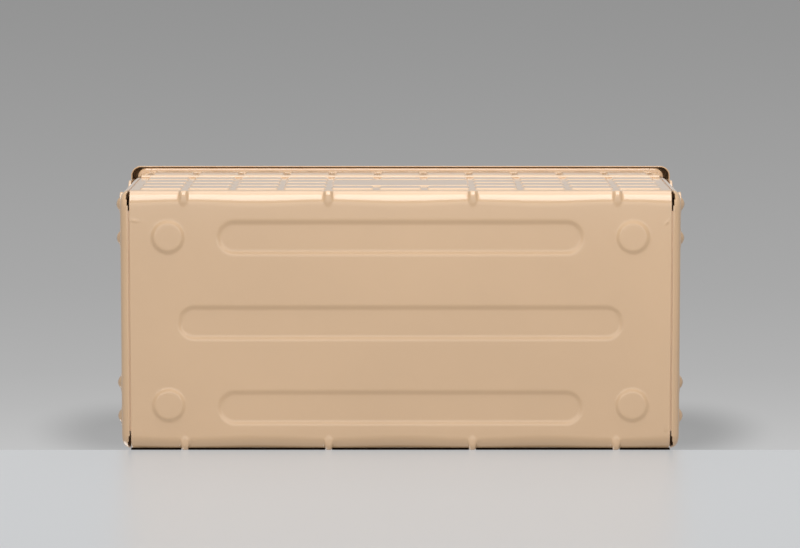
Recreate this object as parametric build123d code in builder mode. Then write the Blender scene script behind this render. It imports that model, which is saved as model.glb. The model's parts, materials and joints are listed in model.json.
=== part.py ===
from build123d import *
import math
import os

# A cantilever toolbox in pressed sheet steel: a lower box, two trays that swing out on four pairs of
# link arms, a lid hinged on each tray and a folding handle on each lid. Millimetres, +Z up, X along the
# length, origin on the floor under the middle. Front is -Y, right is +X. Left and rear pieces are mirrored.

# Sheet and lower box
SHEET = 0.8
BODY_HALF_DEPTH = 78.6
BODY_TOP = 103.5
BODY_BEND = 8.0
CAP_FACE = 169.0
CAP_BEND = 5.0
CAP_CORNER = 11.0
CAP_FLANGE = 20.0
CORNER_SLIT = 0.9
HEM_HEIGHT = 6.0

# Pressings in the bottom of the lower box
FOOT_HEIGHT = 1.0
FOOT_RADIUS = 10.5
FOOT_FLAT_RADIUS = 8.0
FOOT_INSET_X, FOOT_INSET_Y = 29.0, 27.5
BEAD_DEPTH = 0.9
BEAD_WIDTH = 22.0
BEAD_SLOPE_WIDTH = 3.0
BEAD_FLANGE_GAP = 14.5
BEAD_FOOT_GAP = 19.5
BEAD_INSET_Y = 26.9
BEAD_SHIFT = 1.0
GUSSET_COLUMNS = (1.5, 4.5)
GUSSET_WIDTH = 4.4
GUSSET_BEND = 3.5

# Raised pads in the long sides, and the bare plaque among them
COLUMNS, ROWS = 11, 4
PAD_END_MARGIN = 3.6
PAD_LOWEST = 23.0
PAD_TOP_MARGIN = 2.5
PAD_GAP = 2.6
PAD_RISE = 0.8
PAD_EDGE = 1.2
PAD_CORNER = 2.5
PLAQUE_COLUMNS = 3
PLAQUE_ROWS = (1, 2)
TRAY_PAD_RAISE, TRAY_PAD_MARGIN = 18.5, 6.0

# Trays
TRAY_CLEARANCE = 1.0
TRAY_HEIGHT = 63.5
TRAY_OVERHANG = 0.3
TRAY_SETBACK = 0.8
TRAY_HALF_GAP = 2.0
TRAY_BEND = 7.0
TRAY_CAP_CORNER = 9.0
RIM_HEIGHT, RIM_PROUD = 3.0, 0.7
RIM_LAP = 2.0
RIM_EDGE = 0.5
DIVIDER_X = 56.0
DIVIDER_DROP = 10.0
DIVIDER_FOOT = 9.0

# Link arms and their pivots
ARM_THICK = 1.8
ARM_WIDTH = 15.0
ARM_EDGE = 0.3
ARM_STANDOFF = 1.9
PIVOT_SPACING = 21.0
LOW_PIVOT_DROP, LOW_PIVOT_INSET = 45.5, 12.6
UP_PIVOT_RAISE, UP_PIVOT_INSET = 20.5, 10.0

# Rivets and spacers
RIVET_RADIUS = 2.5
RUNNING_GAP = 0.08
SIDE_GAP = 0.1
HEAD_RADIUS = 4.4
HEAD_HEIGHT = 1.4
TAIL_RADIUS, TAIL_THICK = 3.9, 0.9
SPACER_RADIUS = 5.0
SMALL_SPACER_RADIUS = 4.0

# Lids and their hinge ears
LID_CLEARANCE = 2.0
LID_HALF_GAP = 0.8
LID_HEADROOM = 12.0
LID_HEIGHT = 20.0
LID_CORNER = 6.5
LID_BEND = 5.0
LID_INNER_BEND = 2.0
LID_SEAT_GAP = 0.3
LID_PANEL_MARGIN = 11.0
LID_PIVOT_INSET, LID_PIVOT_RAISE = 9.8, 21.5
EAR_THICK = 1.6
EAR_RADIUS = 7.0
EAR_OFFSET = 1.0
EAR_TAB_REACH = (4.0, 10.0)
EAR_TOP_DROP = 7.0
EAR_JOGGLE_DROPS = (12.0, 5.0)

# Handles
HANDLE_RISE = 35.0
HANDLE_THICK = 1.6
HANDLE_GAP = 0.3
HANDLE_BEND = 10.0
HANDLE_PIVOT_INSET, HANDLE_PIVOT_DROP = 13.2, 9.0
GRIP_HALF_GAP = 1.0
GRIP_WIDTH = 14.0
GRIP_FLANGE = 5.0
GRIP_END_MARGIN = 26.5
LEG_RADIUS = 7.0

# Places and lengths in the lower box that follow from the sizes above
BOTTOM = FOOT_HEIGHT
INSIDE_HALF_DEPTH = BODY_HALF_DEPTH - SHEET
SHELL_HALF_WIDTH = CAP_FACE - CAP_BEND - CORNER_SLIT
FLANGE_X = CAP_FACE - CAP_FLANGE
FOOT_X, FOOT_Y = CAP_FACE - FOOT_INSET_X, BODY_HALF_DEPTH - FOOT_INSET_Y
BEAD_Y = BODY_HALF_DEPTH - BEAD_INSET_Y
LONG_BEAD = 2 * (FLANGE_X - BEAD_FLANGE_GAP)
SHORT_BEAD = 2 * (FOOT_X - FOOT_RADIUS - BEAD_FOOT_GAP)
COLUMN_PITCH = 2 * (SHELL_HALF_WIDTH - PAD_END_MARGIN) / COLUMNS
ROW_PITCH = (BODY_TOP - PAD_TOP_MARGIN - PAD_LOWEST) / ROWS
PAD_TAPER = math.degrees(math.atan2(PAD_EDGE, PAD_RISE))

# Trays, lids and handles, from the lower box upwards and outwards
TRAY_BOTTOM = BODY_TOP + TRAY_CLEARANCE
TRAY_TOP = TRAY_BOTTOM + TRAY_HEIGHT
TRAY_OUTER, TRAY_INNER = -BODY_HALF_DEPTH + TRAY_SETBACK, -TRAY_HALF_GAP
TRAY_CAP_FACE = CAP_FACE + TRAY_OVERHANG
TRAY_SHELL_HALF_WIDTH = TRAY_CAP_FACE - CAP_BEND - SHEET - RIM_LAP
ARM_INSIDE = TRAY_CAP_FACE + ARM_STANDOFF
ARM_OUTSIDE = ARM_INSIDE + ARM_THICK
LID_FACE = ARM_INSIDE + EAR_OFFSET + EAR_THICK + SHEET
LID_OUTER = TRAY_OUTER - RIM_PROUD - LID_CLEARANCE - SHEET
LID_INNER = -LID_HALF_GAP
LID_TOP = TRAY_TOP + LID_HEADROOM
LID_BOTTOM = LID_TOP - LID_HEIGHT
HANDLE_FACE = LID_FACE + HANDLE_GAP + HANDLE_THICK
HANDLE_TOP = LID_TOP + HANDLE_RISE
GRIP_INNER = -GRIP_HALF_GAP
GRIP_OUTER = GRIP_INNER - GRIP_WIDTH

# Pivots, as depth and height
LOW_PIVOT_Z = BODY_TOP - LOW_PIVOT_DROP
LOW_PIVOT_OUTER = -BODY_HALF_DEPTH + LOW_PIVOT_INSET
LOW_PIVOT_INNER = LOW_PIVOT_OUTER + PIVOT_SPACING
UP_PIVOT_Z = TRAY_BOTTOM + UP_PIVOT_RAISE
UP_PIVOT_INNER = TRAY_INNER - UP_PIVOT_INSET
UP_PIVOT_OUTER = UP_PIVOT_INNER - PIVOT_SPACING
LINK_RISE, LINK_LEAN = UP_PIVOT_Z - LOW_PIVOT_Z, UP_PIVOT_OUTER - LOW_PIVOT_OUTER
LINK_LENGTH = math.hypot(LINK_RISE, LINK_LEAN)
LINK_ANGLE = math.degrees(math.atan2(LINK_RISE, LINK_LEAN))
HOLE_RADIUS = RIVET_RADIUS + RUNNING_GAP
LOW_PIVOTS = [(side * y, LOW_PIVOT_Z) for side in (1, -1) for y in (LOW_PIVOT_OUTER, LOW_PIVOT_INNER)]
TRAY_PIVOTS = [(UP_PIVOT_OUTER, UP_PIVOT_Z), (UP_PIVOT_INNER, UP_PIVOT_Z)]
LID_PIVOT = (TRAY_OUTER + LID_PIVOT_INSET, TRAY_BOTTOM + LID_PIVOT_RAISE)
HANDLE_PIVOT = (LID_INNER - HANDLE_PIVOT_INSET, LID_TOP - HANDLE_PIVOT_DROP)


def pad_centres():
    """Centre and size of every raised pad in a long side of the lower box, plaque last."""
    middle_row = sum(PLAQUE_ROWS) / 2
    pads = []
    for column in range(COLUMNS):
        offset = column - (COLUMNS - 1) / 2
        for row in range(ROWS):
            if abs(offset) < PLAQUE_COLUMNS / 2 and row in PLAQUE_ROWS:
                continue
            z = PAD_LOWEST + (row + 0.5) * ROW_PITCH
            pads.append((offset * COLUMN_PITCH, z, COLUMN_PITCH - PAD_GAP, ROW_PITCH - PAD_GAP))
    plaque_z = PAD_LOWEST + (middle_row + 0.5) * ROW_PITCH
    width = PLAQUE_COLUMNS * COLUMN_PITCH - PAD_GAP
    pads.append((0, plaque_z, width, len(PLAQUE_ROWS) * ROW_PITCH - PAD_GAP))
    return pads


def tray_pad_centres():
    """Centre and size of the one row of pads in a tray's outer side."""
    low, high = TRAY_BOTTOM + TRAY_PAD_RAISE, LID_BOTTOM - TRAY_PAD_MARGIN
    size = (COLUMN_PITCH - PAD_GAP, high - low - PAD_GAP)
    return [((k - (COLUMNS - 1) / 2) * COLUMN_PITCH, (low + high) / 2, *size) for k in range(COLUMNS)]


def pad_sketch(face_plane, pads, inset, corner):
    """The outlines of the pads on a plane whose local y is up."""
    with BuildSketch(face_plane) as outlines:
        for x, z, width, height in pads:
            with BuildSketch(mode=Mode.PRIVATE) as one:
                Rectangle(width - 2 * inset, height - 2 * inset)
                if corner:
                    chamfer(one.vertices(), corner)
            with Locations((x, z)):
                add(one.sketch)
    return outlines.sketch


def front_plane(y):
    """An upright plane that faces the front at depth y: local x along +X, local y along +Z."""
    return Plane(origin=(0, y, 0), x_dir=(1, 0, 0), z_dir=(0, -1, 0))


def pad_outsides(y, pads):
    """Raised pads that stand out of the face at depth y, towards the front."""
    with BuildPart() as raised:
        extrude(pad_sketch(front_plane(y), pads, 0, PAD_CORNER), amount=PAD_RISE, taper=PAD_TAPER)
    return raised.part


def pad_insides(y, pads):
    """The hollows behind the pads, cut from the inner face at depth y + SHEET."""
    slant = math.hypot(PAD_EDGE, PAD_RISE)
    inset = SHEET * (slant - PAD_EDGE) / PAD_RISE
    with BuildPart() as hollow:
        extrude(pad_sketch(front_plane(y + SHEET), pads, inset, 0), amount=PAD_RISE, taper=PAD_TAPER)
    return hollow.part


def trough(outer, inner, bottom, top, bend, half_width):
    """A solid block with two rounded bottom edges along X, before it is hollowed."""
    with BuildPart() as block:
        with BuildSketch(Plane.YZ) as section:
            with Locations(((outer + inner) / 2, bottom)):
                Rectangle(abs(inner - outer), top - bottom, align=(Align.CENTER, Align.MIN))
            fillet(section.vertices().group_by(Axis.Y)[0], bend)
        extrude(amount=half_width, both=True)
    return block.part


def trough_inside(outer, inner, bottom, top, bend, half_width):
    """What hollows a trough: smaller than its block by the sheet at the bottom and both sides."""
    return trough(outer + SHEET, inner - SHEET, bottom + SHEET, top, bend - SHEET, half_width)


def bead(length, z):
    """A stadium with sloping sides, standing on height z."""
    slope = math.degrees(math.atan2(BEAD_SLOPE_WIDTH, BEAD_DEPTH))
    with BuildPart() as stadium:
        with BuildSketch(Plane.XY.offset(z)):
            SlotOverall(length, BEAD_WIDTH)
        extrude(amount=BEAD_DEPTH, taper=slope)
    return stadium.part


def feet(top, inset):
    """Four cones that hang down from height top."""
    with BuildPart() as cones:
        with Locations((0, 0, top)):
            with GridLocations(2 * FOOT_X, 2 * FOOT_Y, 2, 2):
                low, high = FOOT_FLAT_RADIUS - inset, FOOT_RADIUS - inset
                Cone(low, high, FOOT_HEIGHT, align=(Align.CENTER, Align.CENTER, Align.MAX))
    return cones.part


def gussets(half_width, below):
    """Ridges that fill the rounded bottom bends out to a sharper corner, at a depth below the surface."""
    low_y, low_z = -BODY_HALF_DEPTH + below, BOTTOM + below
    far_y, far_z = -BODY_HALF_DEPTH + BODY_BEND, BOTTOM + BODY_BEND
    with BuildPart() as front:
        with BuildSketch(Plane.YZ) as corner:
            with BuildLine():
                FilletPolyline((far_y, low_z), (low_y, low_z), (low_y, far_z), radius=GUSSET_BEND - below)
                Line((low_y, far_z), (far_y, low_z))
            make_face()
        places = [side * column * COLUMN_PITCH for column in GUSSET_COLUMNS for side in (1, -1)]
        with Locations(*[(x, 0, 0) for x in places]):
            add(extrude(corner.sketch, amount=half_width, both=True, mode=Mode.PRIVATE))
    with BuildPart() as both:
        add(front.part)
        mirror(front.part, about=Plane.XZ)
    return both.part


def make_body_shell():
    """Bottom and long sides of the lower box, one sheet bent to a trough."""
    sizes = (-BODY_HALF_DEPTH, BODY_HALF_DEPTH, BOTTOM, BODY_TOP, BODY_BEND, SHELL_HALF_WIDTH)
    with BuildPart() as shell:
        add(trough(*sizes))
        front_pads = pad_outsides(-BODY_HALF_DEPTH, pad_centres())
        add(front_pads)
        mirror(front_pads, about=Plane.XZ)
        add(feet(BOTTOM, 0))
        add(gussets(GUSSET_WIDTH / 2, 0))
        add(trough_inside(*sizes), mode=Mode.SUBTRACT)
        front_hollows = pad_insides(-BODY_HALF_DEPTH, pad_centres())
        add(front_hollows, mode=Mode.SUBTRACT)
        mirror(front_hollows, about=Plane.XZ, mode=Mode.SUBTRACT)
        add(feet(BOTTOM + SHEET, SHEET / 2), mode=Mode.SUBTRACT)
        add(gussets(GUSSET_WIDTH / 2 - SHEET, SHEET), mode=Mode.SUBTRACT)
        for y, length in ((-BEAD_Y, SHORT_BEAD), (0, LONG_BEAD), (BEAD_Y, SHORT_BEAD)):
            with Locations((0, y + BEAD_SHIFT, 0)):
                add(bead(length, BOTTOM + SHEET))
                add(bead(length, BOTTOM), mode=Mode.SUBTRACT)
        hem_y = INSIDE_HALF_DEPTH - SHEET / 2
        with Locations((0, -hem_y, BODY_TOP), (0, hem_y, BODY_TOP)):
            Box(2 * FLANGE_X, SHEET, HEM_HEIGHT, align=(Align.CENTER, Align.CENTER, Align.MAX))
    return shell.part


def end_pan(outer, inner, bottom, top, face, corner):
    """A right-hand end pan in a trough's end: flanges along bottom and sides, open above and inwards."""
    with BuildPart() as pan:
        with BuildSketch(Plane.YZ.offset(face - CAP_FLANGE)) as section:
            with Locations(((outer + inner) / 2, bottom)):
                Rectangle(inner - outer, top - bottom, align=(Align.CENTER, Align.MIN))
            fillet(section.vertices().group_by(Axis.Y)[0], corner)
        extrude(amount=CAP_FLANGE)
        end_face = pan.faces().sort_by(Axis.X)[-1]
        fillet(end_face.edges().sort_by(Axis.Z)[:-1], CAP_BEND)
        openings = [pan.faces().sort_by(Axis.X)[0], pan.faces().sort_by(Axis.Z)[-1]]
        offset(amount=-SHEET, openings=openings)
    return pan.part


def pivot_holes(places, face):
    """Rivet holes along X through a right-hand end."""
    with BuildPart() as holes:
        with BuildSketch(Plane.YZ.offset(face)):
            with Locations(*places):
                Circle(HOLE_RADIUS)
        extrude(amount=2 * SHEET, both=True)
    return holes.part


def make_end_cap():
    """The right end of the lower box: a pan whose flanges lie inside the trough."""
    with BuildPart() as cap:
        add(end_pan(-INSIDE_HALF_DEPTH, INSIDE_HALF_DEPTH, BOTTOM + SHEET, BODY_TOP, CAP_FACE, CAP_CORNER))
        with Locations((CAP_FACE - SHEET - SHEET / 2, 0, BODY_TOP)):
            hem_width = 2 * (INSIDE_HALF_DEPTH - CAP_BEND)
            Box(SHEET, hem_width, HEM_HEIGHT, align=(Align.CENTER, Align.CENTER, Align.MAX))
        slit_depth = SHELL_HALF_WIDTH - FLANGE_X + CORNER_SLIT
        with Locations((FLANGE_X, 0, BOTTOM)):
            with GridLocations(0, 2 * (INSIDE_HALF_DEPTH - CAP_CORNER / 2), 1, 2):
                Box(
                    slit_depth,
                    CAP_CORNER,
                    CAP_CORNER + SHEET,
                    align=(Align.MIN, Align.CENTER, Align.MIN),
                    mode=Mode.SUBTRACT,
                )
        add(pivot_holes(LOW_PIVOTS, CAP_FACE), mode=Mode.SUBTRACT)
    return cap.part


def make_rivets(places, wall_inside, grip_end):
    """Dome-headed rivets along X: tails inside the wall, heads outside the last piece that they hold."""
    tail_inside = wall_inside - TAIL_THICK
    head_top = grip_end + HEAD_HEIGHT
    dome_radius = (HEAD_RADIUS**2 + HEAD_HEIGHT**2) / (2 * HEAD_HEIGHT)
    with BuildPart() as one:
        with BuildSketch(Plane.XZ):
            with BuildLine():
                Polyline(
                    (head_top, 0),
                    (tail_inside, 0),
                    (tail_inside, TAIL_RADIUS),
                    (wall_inside, TAIL_RADIUS),
                    (wall_inside, RIVET_RADIUS),
                    (grip_end, RIVET_RADIUS),
                    (grip_end, HEAD_RADIUS),
                )
                RadiusArc((grip_end, HEAD_RADIUS), (head_top, 0), dome_radius)
            make_face()
        revolve(axis=Axis.X)
    with BuildPart() as group:
        with Locations(*[(0, y, z) for y, z in places]):
            add(one.part)
    return group.part


def make_spacers(places, wall_outside, radius):
    """Flat rings between a wall and the plates that turn outside it."""
    with BuildPart() as group:
        with BuildSketch(Plane.YZ.offset(wall_outside)):
            with Locations(*places):
                Circle(radius)
                Circle(HOLE_RADIUS, mode=Mode.SUBTRACT)
        extrude(amount=ARM_INSIDE - SIDE_GAP - wall_outside)
    return group.part


def make_arm(low_y):
    """One flat link arm from a pivot on the lower box to one on the tray."""
    middle = (low_y + LINK_LEAN / 2, LOW_PIVOT_Z + LINK_RISE / 2)
    with BuildPart() as arm:
        with BuildSketch(Plane.YZ.offset(ARM_INSIDE)):
            with Locations(Location(middle, LINK_ANGLE)):
                SlotCenterToCenter(LINK_LENGTH, ARM_WIDTH)
            with Locations((low_y, LOW_PIVOT_Z), (low_y + LINK_LEAN, UP_PIVOT_Z)):
                Circle(HOLE_RADIUS, mode=Mode.SUBTRACT)
        extrude(amount=ARM_THICK)
        arm_edges = arm.edges().filter_by(Plane.YZ).sort_by(SortBy.LENGTH)[4:]
        chamfer(arm_edges, ARM_EDGE)
    return arm.part


def make_tray_shell():
    """Bottom and long sides of the front tray, with a rolled rim."""
    sizes = (TRAY_OUTER, TRAY_INNER, TRAY_BOTTOM, TRAY_TOP, TRAY_BEND, TRAY_SHELL_HALF_WIDTH)
    with BuildPart() as shell:
        add(trough(*sizes))
        add(pad_outsides(TRAY_OUTER, tray_pad_centres()))
        add(trough_inside(*sizes), mode=Mode.SUBTRACT)
        add(pad_insides(TRAY_OUTER, tray_pad_centres()), mode=Mode.SUBTRACT)
        rim_size = (2 * TRAY_SHELL_HALF_WIDTH, RIM_PROUD, RIM_HEIGHT)
        with Locations((0, TRAY_OUTER, TRAY_TOP)):
            Box(*rim_size, align=(Align.CENTER, Align.MAX, Align.MAX))
        with Locations((0, TRAY_INNER, TRAY_TOP)):
            Box(*rim_size, align=(Align.CENTER, Align.MIN, Align.MAX))
        low_rim_edges = shell.edges().filter_by(Axis.X).filter_by_position(
            Axis.Z, TRAY_TOP - RIM_HEIGHT - RUNNING_GAP, TRAY_TOP - RIM_HEIGHT + RUNNING_GAP
        )
        outer_edge, inner_edge = low_rim_edges.sort_by(Axis.Y)[0], low_rim_edges.sort_by(Axis.Y)[-1]
        chamfer([outer_edge, inner_edge], RIM_EDGE)
    return shell.part


def rim_plan(low_x, face, outer, inner, corner):
    """Plan of a tray's end at the rim: a rectangle that is rounded at its two outer corners."""
    with BuildSketch(Plane.XY.offset(TRAY_TOP - RIM_HEIGHT)) as plan:
        with Locations(((low_x + face) / 2, (outer + inner) / 2)):
            Rectangle(face - low_x, inner - outer)
        fillet(plan.vertices().group_by(Axis.X)[-1], corner)
    return plan.sketch


def make_tray_end():
    """The right end of the front tray: a pan whose flanges lie inside the tray's trough."""
    outer, inner = TRAY_OUTER + SHEET, TRAY_INNER - SHEET
    outside = (TRAY_CAP_FACE + RIM_PROUD, TRAY_OUTER - RIM_PROUD, TRAY_INNER + RIM_PROUD)
    within = SHEET / 2
    inside = (TRAY_CAP_FACE - within, outer + within, inner - within)
    with BuildPart() as end:
        add(end_pan(outer, inner, TRAY_BOTTOM + SHEET, TRAY_TOP, TRAY_CAP_FACE, TRAY_CAP_CORNER))
        with BuildSketch(Plane.XY.offset(TRAY_TOP - RIM_HEIGHT)):
            add(rim_plan(TRAY_SHELL_HALF_WIDTH, *outside, CAP_BEND + SHEET + RIM_PROUD))
            hollow = rim_plan(TRAY_CAP_FACE - CAP_FLANGE, *inside, CAP_BEND - within)
            add(hollow, mode=Mode.SUBTRACT)
        extrude(amount=RIM_HEIGHT)
        add(pivot_holes([*TRAY_PIVOTS, LID_PIVOT], TRAY_CAP_FACE), mode=Mode.SUBTRACT)
    return end.part


def make_dividers():
    """Two upright partitions in the front tray, each with a foot that is spot-welded to the bottom."""
    floor, top = TRAY_BOTTOM + SHEET, TRAY_TOP - DIVIDER_DROP
    outer, inner = TRAY_OUTER + SHEET, TRAY_INNER - SHEET
    with BuildPart() as plates:
        with BuildSketch(Plane.YZ.offset(DIVIDER_X)) as outline:
            with Locations(((outer + inner) / 2, floor)):
                Rectangle(inner - outer, top - floor, align=(Align.CENTER, Align.MIN))
            chamfer(outline.vertices().group_by(Axis.Y)[0], TRAY_BEND)
        extrude(amount=SHEET)
        with Locations((DIVIDER_X, (outer + inner) / 2, floor)):
            foot_depth = inner - outer - 2 * TRAY_BEND
            Box(DIVIDER_FOOT, foot_depth, SHEET, align=(Align.MIN, Align.CENTER, Align.MIN))
        with Locations((DIVIDER_X, (outer + inner) / 2, top)):
            Box(2 * SHEET, inner - outer, HEM_HEIGHT, align=(Align.MIN, Align.CENTER, Align.MAX))
        mirror(about=Plane.YZ)
    return plates.part


def make_lid():
    """The front lid: an inverted pan with a raised panel, open below, its inner side cut short."""
    with BuildPart() as lid:
        with BuildSketch(Plane.XY.offset(LID_BOTTOM)) as plan:
            with Locations((0, (LID_OUTER + LID_INNER) / 2)):
                Rectangle(2 * LID_FACE, LID_INNER - LID_OUTER)
            fillet(plan.vertices().group_by(Axis.Y)[0], LID_CORNER)
        extrude(amount=LID_TOP - LID_BOTTOM)
        top_edges = lid.faces().sort_by(Axis.Z)[-1].edges().sort_by(Axis.Y)
        fillet(top_edges[:-1], LID_BEND)
        fillet(lid.edges().filter_by(Axis.X).group_by(Axis.Z)[-1].sort_by(Axis.Y)[-1], LID_INNER_BEND)
        offset(amount=-SHEET, openings=lid.faces().sort_by(Axis.Z)[0])
        seat = TRAY_TOP + LID_SEAT_GAP
        with Locations((0, LID_INNER, LID_BOTTOM)):
            Box(
                2 * (LID_FACE - SHEET),
                2 * LID_INNER_BEND,
                seat - LID_BOTTOM,
                align=(Align.CENTER, Align.CENTER, Align.MIN),
                mode=Mode.SUBTRACT,
            )
        length, depth = 2 * (LID_FACE - LID_PANEL_MARGIN), LID_INNER - LID_OUTER - 2 * LID_PANEL_MARGIN
        with BuildSketch(Plane.XY.offset(LID_TOP)) as panel:
            with Locations((0, (LID_OUTER + LID_INNER) / 2)):
                Rectangle(length, depth)
            chamfer(panel.vertices(), PAD_CORNER)
        extrude(amount=PAD_RISE, taper=PAD_TAPER)
        with BuildSketch(Plane.XY.offset(LID_TOP - SHEET)):
            with Locations((0, (LID_OUTER + LID_INNER) / 2)):
                Rectangle(length - SHEET, depth - SHEET)
        extrude(amount=PAD_RISE, taper=PAD_TAPER, mode=Mode.SUBTRACT)
        with BuildSketch(Plane.YZ):
            with Locations(HANDLE_PIVOT):
                Circle(HOLE_RADIUS)
        extrude(amount=LID_FACE + SHEET, both=True, mode=Mode.SUBTRACT)
    return lid.part


def make_lid_ears():
    """The two hinge ears of the front lid: joggled plates that are welded inside its ends."""
    near, far = ARM_INSIDE, ARM_INSIDE + EAR_OFFSET
    low_joggle, high_joggle = [LID_BOTTOM - drop for drop in EAR_JOGGLE_DROPS]
    pivot_y, pivot_z = LID_PIVOT
    bottom, top = pivot_z - EAR_RADIUS, LID_TOP - EAR_TOP_DROP
    with BuildPart() as ears:
        with BuildSketch(Plane.XZ):
            with BuildLine():
                Polyline(
                    (near, bottom),
                    (near + EAR_THICK, bottom),
                    (near + EAR_THICK, low_joggle),
                    (far + EAR_THICK, high_joggle),
                    (far + EAR_THICK, top),
                    (far, top),
                    (far, high_joggle),
                    (near, low_joggle),
                    close=True,
                )
            make_face()
        extrude(amount=BODY_HALF_DEPTH * 2, both=True)
        with BuildSketch(Plane.YZ):
            with Locations(LID_PIVOT):
                Circle(EAR_RADIUS)
            with BuildLine():
                Polyline(
                    (pivot_y - EAR_TAB_REACH[0], top),
                    (pivot_y - EAR_RADIUS, pivot_z),
                    (pivot_y + EAR_RADIUS, pivot_z),
                    (pivot_y + EAR_TAB_REACH[1], top),
                    close=True,
                )
            make_face()
            with Locations(LID_PIVOT):
                Circle(HOLE_RADIUS, mode=Mode.SUBTRACT)
        extrude(amount=LID_FACE, mode=Mode.INTERSECT)
        mirror(about=Plane.YZ)
    return ears.part


def make_handle():
    """The front handle: a flat strip bent to a long U, its grip folded down along both edges."""
    mid_x, mid_top = HANDLE_FACE - HANDLE_THICK / 2, HANDLE_TOP - HANDLE_THICK / 2
    pivot_y, pivot_z = HANDLE_PIVOT
    low = pivot_z - LEG_RADIUS
    with BuildPart() as handle:
        with BuildSketch(Plane.XZ):
            with BuildLine() as strip:
                FilletPolyline(
                    (-mid_x, low),
                    (-mid_x, mid_top),
                    (mid_x, mid_top),
                    (mid_x, low),
                    radius=HANDLE_BEND - HANDLE_THICK / 2,
                )
            trace(strip.line, line_width=HANDLE_THICK)
        extrude(amount=BODY_HALF_DEPTH, both=True)
        with BuildSketch(Plane.YZ) as side:
            with Locations(HANDLE_PIVOT):
                Circle(LEG_RADIUS)
            with BuildLine():
                Polyline(
                    (pivot_y - LEG_RADIUS, pivot_z),
                    (pivot_y + LEG_RADIUS, pivot_z),
                    (GRIP_INNER, HANDLE_TOP - HANDLE_BEND),
                    (GRIP_INNER, HANDLE_TOP),
                    (GRIP_OUTER, HANDLE_TOP),
                    (GRIP_OUTER, HANDLE_TOP - HANDLE_BEND),
                    close=True,
                )
            make_face()
        extrude(amount=HANDLE_FACE, both=True, mode=Mode.INTERSECT)
        flange_y = (GRIP_OUTER + HANDLE_THICK / 2, GRIP_INNER - HANDLE_THICK / 2)
        with Locations(*[(0, y, HANDLE_TOP - HANDLE_THICK / 2) for y in flange_y]):
            Box(
                2 * (HANDLE_FACE - GRIP_END_MARGIN),
                HANDLE_THICK,
                GRIP_FLANGE + HANDLE_THICK / 2,
                align=(Align.CENTER, Align.CENTER, Align.MAX),
            )
        with BuildSketch(Plane.YZ):
            with Locations(HANDLE_PIVOT):
                Circle(HOLE_RADIUS)
        extrude(amount=HANDLE_FACE, both=True, mode=Mode.SUBTRACT)
    return handle.part


def both_ends(piece):
    """A piece and its mirror image at the other end of the box, as one group."""
    with BuildPart() as pair:
        add(piece)
        mirror(piece, about=Plane.YZ)
    return pair.part


def mirrored(piece, plane):
    """The mirror image of a piece."""
    with BuildPart() as image:
        mirror(piece, about=plane)
    return image.part


def save(name, piece):
    piece.label = name
    export_step(piece, f"parts/{name}.step")


def save_ends(name, right_piece):
    """Writes a right-hand piece and its left-hand twin."""
    save(f"{name}_right", right_piece)
    save(f"{name}_left", mirrored(right_piece, Plane.YZ))


def save_front_and_rear(name, front_piece):
    """Writes a front piece and its rear twin."""
    save(f"front_{name}", front_piece)
    save(f"rear_{name}", mirrored(front_piece, Plane.XZ))


def save_corners(name, piece):
    """Writes a front right piece and its three twins."""
    save_front_and_rear(f"{name}_right", piece)
    save_front_and_rear(f"{name}_left", mirrored(piece, Plane.YZ))


os.makedirs("parts", exist_ok=True)

arm_rivet_grip = ARM_OUTSIDE + SIDE_GAP
ear_rivet_grip = ARM_INSIDE + EAR_THICK + SIDE_GAP
tray_wall = TRAY_CAP_FACE - SHEET

save("body_shell", make_body_shell())
save_ends("end_cap", make_end_cap())
save_ends("base_rivets", make_rivets(LOW_PIVOTS, CAP_FACE - SHEET, arm_rivet_grip))
save_ends("base_spacers", make_spacers(LOW_PIVOTS, CAP_FACE, SPACER_RADIUS))

save_corners("outer_arm", make_arm(LOW_PIVOT_OUTER))
save_corners("inner_arm", make_arm(LOW_PIVOT_INNER))

save_front_and_rear("tray_shell", make_tray_shell())
save_corners("tray_end", make_tray_end())
save_front_and_rear("tray_dividers", make_dividers())
save_front_and_rear("tray_arm_rivets", both_ends(make_rivets(TRAY_PIVOTS, tray_wall, arm_rivet_grip)))
save_front_and_rear("lid_hinge_rivets", both_ends(make_rivets([LID_PIVOT], tray_wall, ear_rivet_grip)))
tray_spacers = make_spacers(TRAY_PIVOTS, TRAY_CAP_FACE, SMALL_SPACER_RADIUS)
save_front_and_rear("tray_spacers", both_ends(tray_spacers))
hinge_spacers = make_spacers([LID_PIVOT], TRAY_CAP_FACE, SMALL_SPACER_RADIUS)
save_front_and_rear("lid_hinge_spacers", both_ends(hinge_spacers))

save_front_and_rear("lid", make_lid())
save_front_and_rear("lid_ears", make_lid_ears())
handle_rivets = make_rivets([HANDLE_PIVOT], LID_FACE - SHEET, HANDLE_FACE + SIDE_GAP)
save_front_and_rear("handle_rivets", both_ends(handle_rivets))
save_front_and_rear("handle", make_handle())
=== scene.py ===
"""A cantilever toolbox in pressed, enamelled sheet steel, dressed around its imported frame."""

import json
import math

import bmesh
import bpy
import numpy as np
from mathutils import Matrix, Vector

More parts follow.
